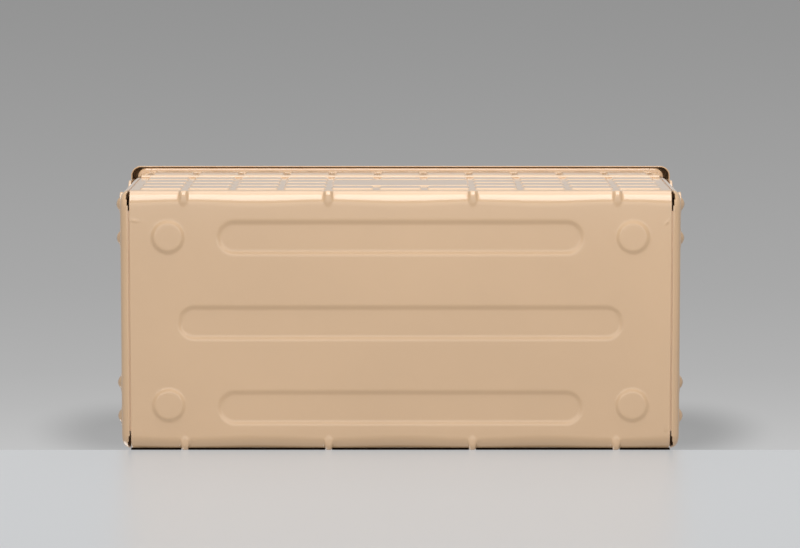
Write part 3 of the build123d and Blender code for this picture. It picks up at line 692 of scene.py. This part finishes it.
# Bends, the raised panel's margin, and how the skirt leans, ends above the frame's and clears it
LID_CORNER, LID_BEND, LID_INNER_BEND = 6.5 * MM, 5 * MM, 2 * MM
LID_PANEL_MARGIN, LID_LEAN, LID_EDGE_RISE, LID_OUTER_SLACK = 11 * MM, 0.9 * MM, 5.5 * MM, 0.3 * MM
LID_SEAT, LID_CROWN, LID_STEP = 0.3 * MM, 0.3 * MM, 1.6 * MM
# Grid lines up the skirt and inwards over the top
LID_SKIRT_LINES = (0.9 * MM, 2.4 * MM, 4.5 * MM, 7 * MM)
LID_TOP_LINES = [MM * k for k in (5.6, 8, 10, 10.7, 11.1, 11.5, 11.9, 12.4, 13.2, 16, 24, 32)]


def lid_path(inset, shares, turns):
    """Points of a lid's outline, moved in by inset, as a list of arrays round the lid from its inner right corner."""
    half, outer_y, inner_y = LID_HIGH.x, LID_LOW.y, LID_HIGH.y
    reach, radius = np.maximum(LID_CORNER, inset), np.maximum(LID_CORNER - inset, 0)
    ends = np.linspace(0, 1, 12)[:-1]
    points = [(half - inset, (inner_y - inset) + (outer_y + reach - inner_y + inset) * s) for s in ends]
    points += [(half - reach + radius * math.cos(a), outer_y + reach - radius * math.sin(a)) for a in turns]
    points += [((half - reach) * s, outer_y + inset) for s in shares[::-1][1:-1]]
    points += [(-(half - reach + radius * math.cos(a)), outer_y + reach - radius * math.sin(a)) for a in turns[::-1]]
    points += [(-(half - inset), (inner_y - inset) + (outer_y + reach - inner_y + inset) * s) for s in ends[1:][::-1]]
    points += [((half - inset) * s, inner_y - inset) for s in shares[:-1]]
    return points


def make_lid_pan(name, sign, sizes, material):
    """One lid: a skirt on three sides, a short inner side, soft bends and a raised panel."""
    half, outer_y, inner_y = LID_HIGH.x, LID_LOW.y, LID_HIGH.y
    low, top = LID_LOW.z + LID_EDGE_RISE, LID_HIGH.z - sizes.pad_rise
    seat = TRAY_HIGH.z + LID_SEAT
    turns = np.linspace(0, math.pi / 2, 11)
    middle = list(np.linspace(0, 0.93, 20))
    step = (half - sizes.sheet) / half
    right = middle + [0.955, 0.975, step - 0.0001, step, 1.0]
    shares = np.array([-s for s in right[::-1][:-1]] + right)
    flat_rows = [*LID_TOP_LINES, (inner_y - outer_y) / 2]
    border = lid_path(np.array(0.0), shares, turns)
    x0, y0 = coordinates(border, 0), coordinates(border, 1)
    inner_side = (y0 > inner_y - 0.001 * MM) & (np.abs(x0) < half - 0.001 * MM)
    short = inner_side & (np.abs(x0) < half - sizes.sheet - 0.005 * MM)
    lowest = np.where(short, seat, low)
    from_corner = (half - np.abs(x0)) / (6 * MM)
    bend = np.where(inner_side, LID_INNER_BEND + (LID_BEND - LID_INNER_BEND) * np.exp(-(from_corner**2)), LID_BEND)
    outer_side = smooth_step((outer_y + LID_CORNER - y0) / LID_CORNER)
    skirt = [*edge_lines(sizes.sheet)[:-1], *LID_SKIRT_LINES]
    panel_x, panel_y = half - LID_PANEL_MARGIN, (inner_y - outer_y) / 2 - LID_PANEL_MARGIN
    grids = []
    for under in (False, True):
        rows = []
        for rise in skirt:
            share = rise / (top - LID_BEND - low)
            z = np.where(short, lowest + (top - bend - lowest) * share, low + rise)
            cut = round_over(z - lowest, sizes.sheet / 2)
            rows.append((sizes.sheet - cut if under else cut, z))
        for a in turns:
            if under:
                k = bend - (bend - sizes.sheet) * math.cos(a)
                z = top - bend + (bend - sizes.sheet) * math.sin(a)
            else:
                k = bend * (1 - math.cos(a))
                z = top - bend + bend * math.sin(a)
            rows.append((k, z))
        for k in flat_rows:
            rows.append((k + 0 * bend, top - (sizes.sheet if under else 0) + 0 * bend))
        grid = []
        for n, (k, z) in enumerate(rows):
            path = lid_path(k, shares, turns)
            x, y = coordinates(path, 0), coordinates(path, 1)
            if n >= len(skirt) + len(turns):
                middle_y = (outer_y + inner_y) / 2
                depth = inside_rounded(x, y - middle_y, panel_x, panel_y, sizes.pad_corner)
                crown = np.clip(1 - (x / panel_x) ** 2, 0, 1) * np.clip(1 - ((y - middle_y) / panel_y) ** 2, 0, 1)
                z = z + sizes.pad_rise * smooth_step(depth / LID_STEP) + LID_CROWN * crown
            lean = LID_OUTER_SLACK + LID_LEAN * np.clip((z - low) / (top - LID_BEND - low), 0, 1)
            y = y + lean * outer_side
            grid.append(np.stack([x, y, z + 0 * x], -1))
        grids.append(np.stack(grid))
    piece = sheet_piece(f"{name}_lid_pan", grids[0], grids[1], loop=True, seam_last=True)
    if sign > 0:
        mirror_in_depth(piece)
    return dress(piece, f"{name}_lid", material, "beige_paint", f"{name}_lid")


# Fittings: plates and rivets of the frame, with eased edges

# Where the domed heads begin and how much higher they stand, and the width of each kind's eased edge
ARM_OUTSIDE, HEAD_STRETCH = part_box("front_outer_arm_right")[1].x, 0.6
ARM_EASE, RIVET_EASE = 0.22 * MM, 0.15 * MM
PLATE_EASES = (("lid_ears", 0.25 * MM), ("tray_dividers", 0.18 * MM), ("handle", 0.5 * MM))


def eased_copy(node, width, segments=3, sharp=math.radians(28)):
    """A copy of a node's mesh whose sharp edges are rounded, as punched and painted steel has them."""
    mesh = frame["nodes"][node].data.copy()
    work = bmesh.new()
    work.from_mesh(mesh)
    bmesh.ops.remove_doubles(work, verts=work.verts, dist=0.002 * MM)
    bmesh.ops.dissolve_degenerate(work, edges=work.edges, dist=0.001 * MM)
    bmesh.ops.recalc_face_normals(work, faces=work.faces)
    flat = math.radians(0.6)
    inner = [e for e in work.edges if len(e.link_faces) == 2 and e.calc_face_angle(0) < flat]
    bmesh.ops.dissolve_edges(work, edges=inner, use_verts=False)
    crisp = [e for e in work.edges if len(e.link_faces) == 2 and e.calc_face_angle(0) > sharp]
    bmesh.ops.bevel(
        work, geom=crisp, offset=width, offset_type="OFFSET", segments=segments, profile=0.5, affect="EDGES",
        clamp_overlap=True,
    )
    work.to_mesh(mesh)
    work.free()
    piece = finished(f"{node}_eased", mesh, merge=0.0000005, sharp=math.radians(50))
    weighted = piece.modifiers.new("even_shading", "WEIGHTED_NORMAL")
    weighted.keep_sharp = True
    return piece


def body_of_node(node):
    """The body that carries a node."""
    return frame["nodes"][node]["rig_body"]


def make_fittings(nodes, width, material, slot):
    """Eased copies of plates or rivets, each on its own body."""
    for node in nodes:
        piece = eased_copy(node, width)
        if "arm_rivets" in node or "base_rivets" in node:
            raise_heads(piece)
        dress(piece, body_of_node(node), material, slot, node)


def raise_heads(piece):
    """Lets the domed heads outside the link arms stand higher, as hammered rivets do."""
    places = np.empty(3 * len(piece.data.vertices), np.float32)
    piece.data.vertices.foreach_get("co", places)
    along = places[::3]
    beyond = np.maximum(np.abs(along) - ARM_OUTSIDE, 0)
    places[::3] = along + np.sign(along) * beyond * HEAD_STRETCH
    piece.data.vertices.foreach_set("co", places)
    piece.data.update()


# Enamel

# Scales of its noise, how far gloss and colour vary with it, and how light bends in paint and coat
CLOUD_SCALE, SMEAR_SCALE, GLOSS_SPREAD, PEEL_STRENGTH = 9.0, 38.0, 0.04, 0.8
DARKEST, LIGHTEST = 0.965, 1.03
ENAMEL_IOR, COAT_IOR, COAT_ROUGHNESS = 1.55, 1.62, 0.09


def fill_ramp(ramp, blend, stops):
    """Gives a colour ramp its stops of position and colour."""
    ramp.color_ramp.interpolation = blend
    for n, (position, colour) in enumerate(stops):
        stop = ramp.color_ramp.elements[n] if n < 2 else ramp.color_ramp.elements.new(position)
        stop.position = position
        stop.color = (*colour, 1)


def noise(tree, place, scale, detail):
    """Noise over a mapped place, as a socket."""
    texture = tree.nodes.new("ShaderNodeTexNoise")
    texture.inputs["Scale"].default_value = scale
    texture.inputs["Detail"].default_value = detail
    tree.links.new(place.outputs["Vector"], texture.inputs["Vector"])
    return texture.outputs["Fac"]


def enamel(name, settings, tint=1.0, roughness=None, grain_seed=0.0):
    """Semi-gloss beige enamel: faint cloudiness, orange peel, and a glossy coat over it."""
    material = bpy.data.materials.new(name)
    material.use_nodes = True
    tree = material.node_tree
    nodes, links = tree.nodes, tree.links
    shader = nodes["Principled BSDF"]
    place = nodes.new("ShaderNodeTexCoord")
    shift = nodes.new("ShaderNodeMapping")
    shift.inputs["Location"].default_value = (grain_seed, grain_seed * 0.7, grain_seed * 1.3)
    links.new(place.outputs["Object"], shift.inputs["Vector"])
    tone = nodes.new("ShaderNodeValToRGB")
    low, high = ([min(channel * tint * share, 1.0) for channel in settings.colour] for share in (DARKEST, LIGHTEST))
    fill_ramp(tone, "LINEAR", ((0.3, low), (0.7, high)))
    links.new(noise(tree, shift, CLOUD_SCALE, 4.0), tone.inputs["Fac"])
    links.new(tone.outputs["Color"], shader.inputs["Base Color"])
    gloss = nodes.new("ShaderNodeMapRange")
    middle = settings.roughness if roughness is None else roughness
    gloss.inputs["To Min"].default_value = middle - GLOSS_SPREAD
    gloss.inputs["To Max"].default_value = middle + GLOSS_SPREAD
    links.new(noise(tree, shift, SMEAR_SCALE, 5.0), gloss.inputs["Value"])
    links.new(gloss.outputs["Result"], shader.inputs["Roughness"])
    ripple = nodes.new("ShaderNodeBump")
    ripple.inputs["Strength"].default_value = PEEL_STRENGTH
    ripple.inputs["Distance"].default_value = settings.peel_depth
    links.new(noise(tree, shift, 1 / settings.peel_size, 2.0), ripple.inputs["Height"])
    links.new(ripple.outputs["Normal"], shader.inputs["Normal"])
    links.new(ripple.outputs["Normal"], shader.inputs["Coat Normal"])
    shader.inputs["Metallic"].default_value = 0.0
    shader.inputs["IOR"].default_value = ENAMEL_IOR
    shader.inputs["Coat Weight"].default_value = settings.coat
    shader.inputs["Coat IOR"].default_value = COAT_IOR
    shader.inputs["Coat Roughness"].default_value = COAT_ROUGHNESS
    return material


# Stage

CAMERA_PLACE, CAMERA_TILT = (-0.0003, -0.2565, -2.062), math.radians(6.3)
SENSOR_WIDTH, CLIP_END = 36.0, 30.0
# The standing floor lies just under the feet, and the board of the lying box ends just under that floor
STANDING_REACH, STANDING_Z = 6.0, -0.05 * MM
BOARD_REACH, BOARD_LENGTH, BOARD_Y, BOARD_END = 1.6, 1.5, 78.2 * MM, -0.2 * MM
# The painted contact shadow, as dark strips left open at the gussets, and the card that keeps light off the lying
# side's lowest edge
CONTACT_REACH, CONTACT_HEIGHT, CONTACT_GAP = 163 * MM, 1.4 * MM, 2.1 * MM
CONTACT_SHADOW_COLOUR = (0.008, 0.004, 0.002)
FLAG_Y, FLAG_LOW, FLAG_HIGH = 81.5 * MM, 5.5 * MM, 12 * MM
# The backdrop's place, the span of its gradient with its greys, and its painted shadows of the box: centre, reach and
# depth
WALL_REACH, WALL_HEIGHT, WALL_Z = 0.7, 0.6, 0.62
WALL_LOW, WALL_HIGH, PAINTED_SHADOW_EDGE = -0.175, 0.19, 0.75
WALL_GREYS = ((0.0, 0.285), (0.35, 0.355), (0.62, 0.39), (0.80, 0.445), (0.90, 0.495), (1.0, 0.57))
PAINTED_BOX_SHADOWS = (((0.215, 0.1647, 0.62), (0.085, 0.028, 1.0), 0.33), ((-0.215, 0.1647, 0.62), (0.085, 0.028, 1.0), 0.27))
# Each softbox with its place, its target, its size and the setting that holds its power
SOFTBOXES = (
    ("key_softbox", (0.0, -1.33, -0.54), (0.0, -0.07, 0.0), (0.9, 1.2), "key_power"),
    ("fill_softbox", (0.0, -0.15, -2.9), (0.0, 0.0, 0.0), (3.0, 2.4), "fill_power"),
    ("top_softbox", (0.0, -1.75, 0.75), (0.0, 0.0, 0.05), (1.6, 1.7), "top_power"),
    ("rear_softbox", (-1.3, 1.9, 1.2), (0.0, 0.0, 0.1), (1.6, 1.6), "rear_power"),
)
# Share of the ambient light from below to above
STUDIO_SHARES, ABOVE = ((0.0, 1.0), (0.25, 0.7), (0.86, 0.7)), 0.985


def plain_plane(name, corners, material):
    """A flat four-cornered stage surface."""
    mesh = bpy.data.meshes.new(name)
    mesh.from_pydata([tuple(c) for c in corners], [], [(0, 1, 2, 3)])
    mesh.materials.append(material)
    surface = bpy.data.objects.new(name, mesh)
    bpy.context.scene.collection.objects.link(surface)
    return surface


def one_sided(material):
    """Makes a stage material clear when it is seen from behind."""
    tree = material.node_tree
    nodes, links = tree.nodes, tree.links
    output = nodes["Material Output"]
    front = output.inputs["Surface"].links[0].from_socket
    facing = nodes.new("ShaderNodeNewGeometry")
    clear = nodes.new("ShaderNodeBsdfTransparent")
    mix = nodes.new("ShaderNodeMixShader")
    links.new(facing.outputs["Backfacing"], mix.inputs["Fac"])
    links.new(front, mix.inputs[1])
    links.new(clear.outputs["BSDF"], mix.inputs[2])
    links.new(mix.outputs["Shader"], output.inputs["Surface"])
    return material


def floor_paint(name, colour, roughness, specular, glow=0.0):
    """A pale, faintly glossy board, which may be lit from behind."""
    material = bpy.data.materials.new(name)
    material.use_nodes = True
    shader = material.node_tree.nodes["Principled BSDF"]
    shader.inputs["Base Color"].default_value = (*colour, 1)
    shader.inputs["Roughness"].default_value = roughness
    shader.inputs["Specular IOR Level"].default_value = specular
    shader.inputs["Emission Color"].default_value = (*colour, 1)
    shader.inputs["Emission Strength"].default_value = glow
    return one_sided(material)


def backdrop_paint(name):
    """A wall that glows: a soft gradient along Y, with the box's soft shadows painted on it beside the box."""
    material = bpy.data.materials.new(name)
    material.use_nodes = True
    tree = material.node_tree
    nodes, links = tree.nodes, tree.links
    nodes.remove(nodes["Principled BSDF"])
    glow = nodes.new("ShaderNodeEmission")
    place = nodes.new("ShaderNodeTexCoord")
    split = nodes.new("ShaderNodeSeparateXYZ")
    links.new(place.outputs["Object"], split.inputs["Vector"])
    span = nodes.new("ShaderNodeMapRange")
    span.inputs["From Min"].default_value, span.inputs["From Max"].default_value = WALL_LOW, WALL_HIGH
    links.new(split.outputs["Y"], span.inputs["Value"])
    ramp = nodes.new("ShaderNodeValToRGB")
    fill_ramp(ramp, "B_SPLINE", [(position, (grey, grey, grey)) for position, grey in WALL_GREYS])
    links.new(span.outputs["Result"], ramp.inputs["Fac"])
    colour = ramp.outputs["Color"]
    # Each patch dims the wall's glow: a painted soft shadow of the box, not one cast by the lamps
    for centre, reach, depth in PAINTED_BOX_SHADOWS:
        shade = nodes.new("ShaderNodeMapping")
        shade.vector_type = "POINT"
        shade.inputs["Location"].default_value = [-c / r for c, r in zip(centre, reach)]
        shade.inputs["Scale"].default_value = [1 / r for r in reach]
        links.new(place.outputs["Object"], shade.inputs["Vector"])
        ball = nodes.new("ShaderNodeTexGradient")
        ball.gradient_type = "SPHERICAL"
        links.new(shade.outputs["Vector"], ball.inputs["Vector"])
        drop = nodes.new("ShaderNodeMapRange")
        drop.interpolation_type = "SMOOTHSTEP"
        drop.inputs["From Max"].default_value = PAINTED_SHADOW_EDGE
        drop.inputs["To Min"].default_value, drop.inputs["To Max"].default_value = 1.0, 1.0 - depth
        links.new(ball.outputs["Fac"], drop.inputs["Value"])
        dim = nodes.new("ShaderNodeMix")
        dim.data_type, dim.blend_type = "RGBA", "MULTIPLY"
        dim.inputs["Factor"].default_value = 1.0
        links.new(colour, dim.inputs["A"])
        links.new(drop.outputs["Result"], dim.inputs["B"])
        colour = dim.outputs["Result"]
    links.new(colour, glow.inputs["Color"])
    links.new(glow.outputs["Emission"], nodes["Material Output"].inputs["Surface"])
    return one_sided(material)


def softbox(name, place, target, size, power):
    """A rectangular softbox at a place that faces a target."""
    data = bpy.data.lights.new(name, "AREA")
    data.shape = "RECTANGLE"
    data.size, data.size_y = size
    data.energy = power
    lamp = bpy.data.objects.new(name, data)
    lamp.location = place
    lamp.rotation_euler = (Vector(target) - Vector(place)).to_track_quat("-Z", "Y").to_euler()
    lamp.visible_camera = False
    bpy.context.scene.collection.objects.link(lamp)


def camera_only(surface):
    """Lets only the camera see a stage surface, so that it neither blocks nor throws back light."""
    surface.visible_diffuse = False
    surface.visible_glossy = False
    surface.visible_transmission = False
    surface.visible_shadow = False


def make_floors(stage):
    """The standing floor, and the board under the lying box with a painted contact shadow along the box's edge."""
    paint = floor_paint("standing_floor_paint", stage.floor_colour, roughness=0.55, specular=0.25)
    r, z = STANDING_REACH, STANDING_Z
    standing = plain_plane("standing_floor", [(-r, -r, z), (r, -r, z), (r, r, z), (-r, r, z)], paint)
    camera_only(standing)
    paint = floor_paint("lying_floor_paint", stage.board_colour, 0.34, 0.5, glow=stage.board_glow)
    r, far, y, z = BOARD_REACH, -BOARD_LENGTH, BOARD_Y, BOARD_END
    plain_plane("lying_floor", [(-r, y, far), (r, y, far), (r, y, z), (-r, y, z)], paint)
    dark = floor_paint("lying_shade_paint", CONTACT_SHADOW_COLOUR, roughness=0.9, specular=0.0)
    # The dark strips under the lying box's lowest edge are a painted contact shadow
    gaps = [column * COLUMN_PITCH + side * CONTACT_GAP for column in GUSSETS for side in (-1, 1)]
    upper, r = y - CONTACT_HEIGHT, CONTACT_REACH
    for n, (left, right) in enumerate(zip([-r, *gaps[1::2]], [*gaps[::2], r])):
        strip = [(left, y, z), (right, y, z), (right, upper, z), (left, upper, z)]
        plain_plane(f"lying_shade_{n + 1}", strip, dark)
    y, low, high = FLAG_Y, FLAG_LOW, FLAG_HIGH
    flag = plain_plane("lying_flag", [(-r, y, low), (r, y, low), (r, y, high), (-r, y, high)], dark)
    flag.visible_camera = False


def make_backdrop():
    """The wall behind the lying box."""
    x, y, z = WALL_REACH, WALL_HEIGHT, WALL_Z
    wall = plain_plane("backdrop", [(-x, y, z), (x, y, z), (x, -y, z), (-x, -y, z)], backdrop_paint("backdrop_paint"))
    camera_only(wall)


def make_studio(stage):
    """Softboxes, and the ambient light from all round."""
    for name, place, target, size, power in SOFTBOXES:
        softbox(name, place, target, size, getattr(stage, power))
    world = bpy.data.worlds.new("studio")
    world.use_nodes = True
    nodes, links = world.node_tree.nodes, world.node_tree.links
    place = nodes.new("ShaderNodeTexCoord")
    split = nodes.new("ShaderNodeSeparateXYZ")
    links.new(place.outputs["Generated"], split.inputs["Vector"])
    ramp = nodes.new("ShaderNodeValToRGB")
    shares = (*STUDIO_SHARES, (ABOVE, stage.overhead))
    fill_ramp(ramp, "EASE", [(height, [share * channel for channel in stage.ambient]) for height, share in shares])
    links.new(split.outputs["Z"], ramp.inputs["Fac"])
    links.new(ramp.outputs["Color"], nodes["Background"].inputs["Color"])
    nodes["Background"].inputs["Strength"].default_value = 1.0
    bpy.context.scene.world = world


def make_camera(stage):
    """The camera, which looks at the bottom of the box with its front side upwards."""
    lens = bpy.data.cameras.new("camera")
    lens.lens, lens.sensor_width, lens.sensor_fit = stage.lens, SENSOR_WIDTH, "HORIZONTAL"
    lens.clip_end = CLIP_END
    camera = bpy.data.objects.new("camera", lens)
    forward = Vector((0, math.sin(CAMERA_TILT), math.cos(CAMERA_TILT)))
    up = Vector((0, -math.cos(CAMERA_TILT), math.sin(CAMERA_TILT)))
    axes = Matrix((forward.cross(up), up, -forward)).transposed()
    camera.matrix_world = Matrix.Translation(CAMERA_PLACE) @ axes.to_4x4()
    bpy.context.scene.collection.objects.link(camera)
    bpy.context.scene.camera = camera
    bpy.context.scene.view_settings.view_transform = "Standard"


def make_stage(stage):
    """Floors for standing and lying, the backdrop, the lights and the camera."""
    make_floors(stage)
    make_backdrop()
    make_studio(stage)
    make_camera(stage)


# The add-on


def enamel_for(context, name, **changes):
    """The enamel called name, made once."""
    return bpy.data.materials.get(name) or enamel(name, context.scene.toolbox_enamel, **changes)


class TOOLBOX_OT_lower_box(bpy.types.Operator):
    """Build the pressed sheet and the two end pans of the lower box"""

    bl_idname = "toolbox.lower_box"
    bl_label = "Lower box"

    def execute(self, context):
        sizes = context.scene.toolbox_pressings
        paint = enamel_for(context, "beige_enamel")
        make_lower_sheet(sizes, paint)
        ends_paint = enamel_for(context, "beige_enamel_ends", grain_seed=0.4)
        for side, sign in ENDS:
            make_end_pan(side, sign, sizes, ends_paint)
        return {"FINISHED"}


class TOOLBOX_OT_trays(bpy.types.Operator):
    """Build the two trays' sheets and end pans"""

    bl_idname = "toolbox.trays"
    bl_label = "Trays"

    def execute(self, context):
        sizes = context.scene.toolbox_pressings
        paint = enamel_for(context, "beige_enamel_trays", grain_seed=0.9)
        for name, depth_sign in SIDES:
            make_tray_sheet(name, depth_sign, sizes, paint)
            for side, sign in ENDS:
                make_tray_pan(name, depth_sign, side, sign, sizes, paint)
        return {"FINISHED"}


class TOOLBOX_OT_lids(bpy.types.Operator):
    """Build the two lids"""

    bl_idname = "toolbox.lids"
    bl_label = "Lids"

    def execute(self, context):
        paint = enamel_for(context, "beige_enamel_lids", grain_seed=1.7)
        for name, sign in SIDES:
            make_lid_pan(name, sign, context.scene.toolbox_pressings, paint)
        return {"FINISHED"}


class TOOLBOX_OT_plates(bpy.types.Operator):
    """Ease the edges of the link arms, lid ears, dividers and handles"""

    bl_idname = "toolbox.plates"
    bl_label = "Arms, ears, dividers and handles"

    def execute(self, context):
        paint = enamel_for(context, "beige_enamel_plates", grain_seed=2.6)
        arms = [f"{s}_{kind}_arm_{side}" for s, _ in SIDES for kind in ("outer", "inner") for side, _ in ENDS]
        make_fittings(arms, ARM_EASE, paint, "beige_paint")
        for kind, ease in PLATE_EASES:
            make_fittings([f"{s}_{kind}" for s, _ in SIDES], ease, paint, "beige_paint")
        return {"FINISHED"}


class TOOLBOX_OT_rivets(bpy.types.Operator):
    """Ease and paint the rivets and spacers"""

    bl_idname = "toolbox.rivets"
    bl_label = "Rivets and spacers"

    def execute(self, context):
        paint = enamel_for(context, "rivet_enamel", tint=0.99, roughness=0.3, grain_seed=3.3)
        nodes = [n for n in frame["nodes"] if "rivets" in n or "spacers" in n]
        make_fittings(sorted(nodes), RIVET_EASE, paint, "rivet_paint")
        return {"FINISHED"}


class TOOLBOX_OT_stage(bpy.types.Operator):
    """Set up the floor, backdrop, lights and camera"""

    bl_idname = "toolbox.stage"
    bl_label = "Stage"

    def execute(self, context):
        make_stage(context.scene.toolbox_stage)
        return {"FINISHED"}


class TOOLBOX_PT_panel(bpy.types.Panel):
    """Lists the toolbox's pieces and settings"""

    bl_idname = "TOOLBOX_PT_panel"
    bl_label = "Cantilever toolbox"
    bl_space_type = "VIEW_3D"
    bl_region_type = "UI"
    bl_category = "Toolbox"

    def draw(self, context):
        layout = self.layout
        for operator in OPERATORS:
            layout.operator(operator.bl_idname)
        for group in (context.scene.toolbox_pressings, context.scene.toolbox_enamel, context.scene.toolbox_stage):
            box = layout.box()
            for name in group.__annotations__:
                box.prop(group, name)


GROUPS = (ToolboxPressings, ToolboxEnamel, ToolboxStage)
OPERATORS = (
    TOOLBOX_OT_lower_box,
    TOOLBOX_OT_trays,
    TOOLBOX_OT_lids,
    TOOLBOX_OT_plates,
    TOOLBOX_OT_rivets,
    TOOLBOX_OT_stage,
)


def register():
    """Registers the settings, operators and panel."""
    for part in (*GROUPS, *OPERATORS, TOOLBOX_PT_panel):
        bpy.utils.register_class(part)
    bpy.types.Scene.toolbox_pressings = bpy.props.PointerProperty(type=ToolboxPressings)
    bpy.types.Scene.toolbox_enamel = bpy.props.PointerProperty(type=ToolboxEnamel)
    bpy.types.Scene.toolbox_stage = bpy.props.PointerProperty(type=ToolboxStage)


def unregister():
    """Removes what register added."""
    for name in ("toolbox_pressings", "toolbox_enamel", "toolbox_stage"):
        delattr(bpy.types.Scene, name)
    for part in reversed((*GROUPS, *OPERATORS, TOOLBOX_PT_panel)):
        bpy.utils.unregister_class(part)


def main():
    register()
    bpy.ops.toolbox.lower_box()
    bpy.ops.toolbox.trays()
    bpy.ops.toolbox.lids()
    bpy.ops.toolbox.plates()
    bpy.ops.toolbox.rivets()
    bpy.ops.toolbox.stage()


if __name__ == "__main__":
    main()
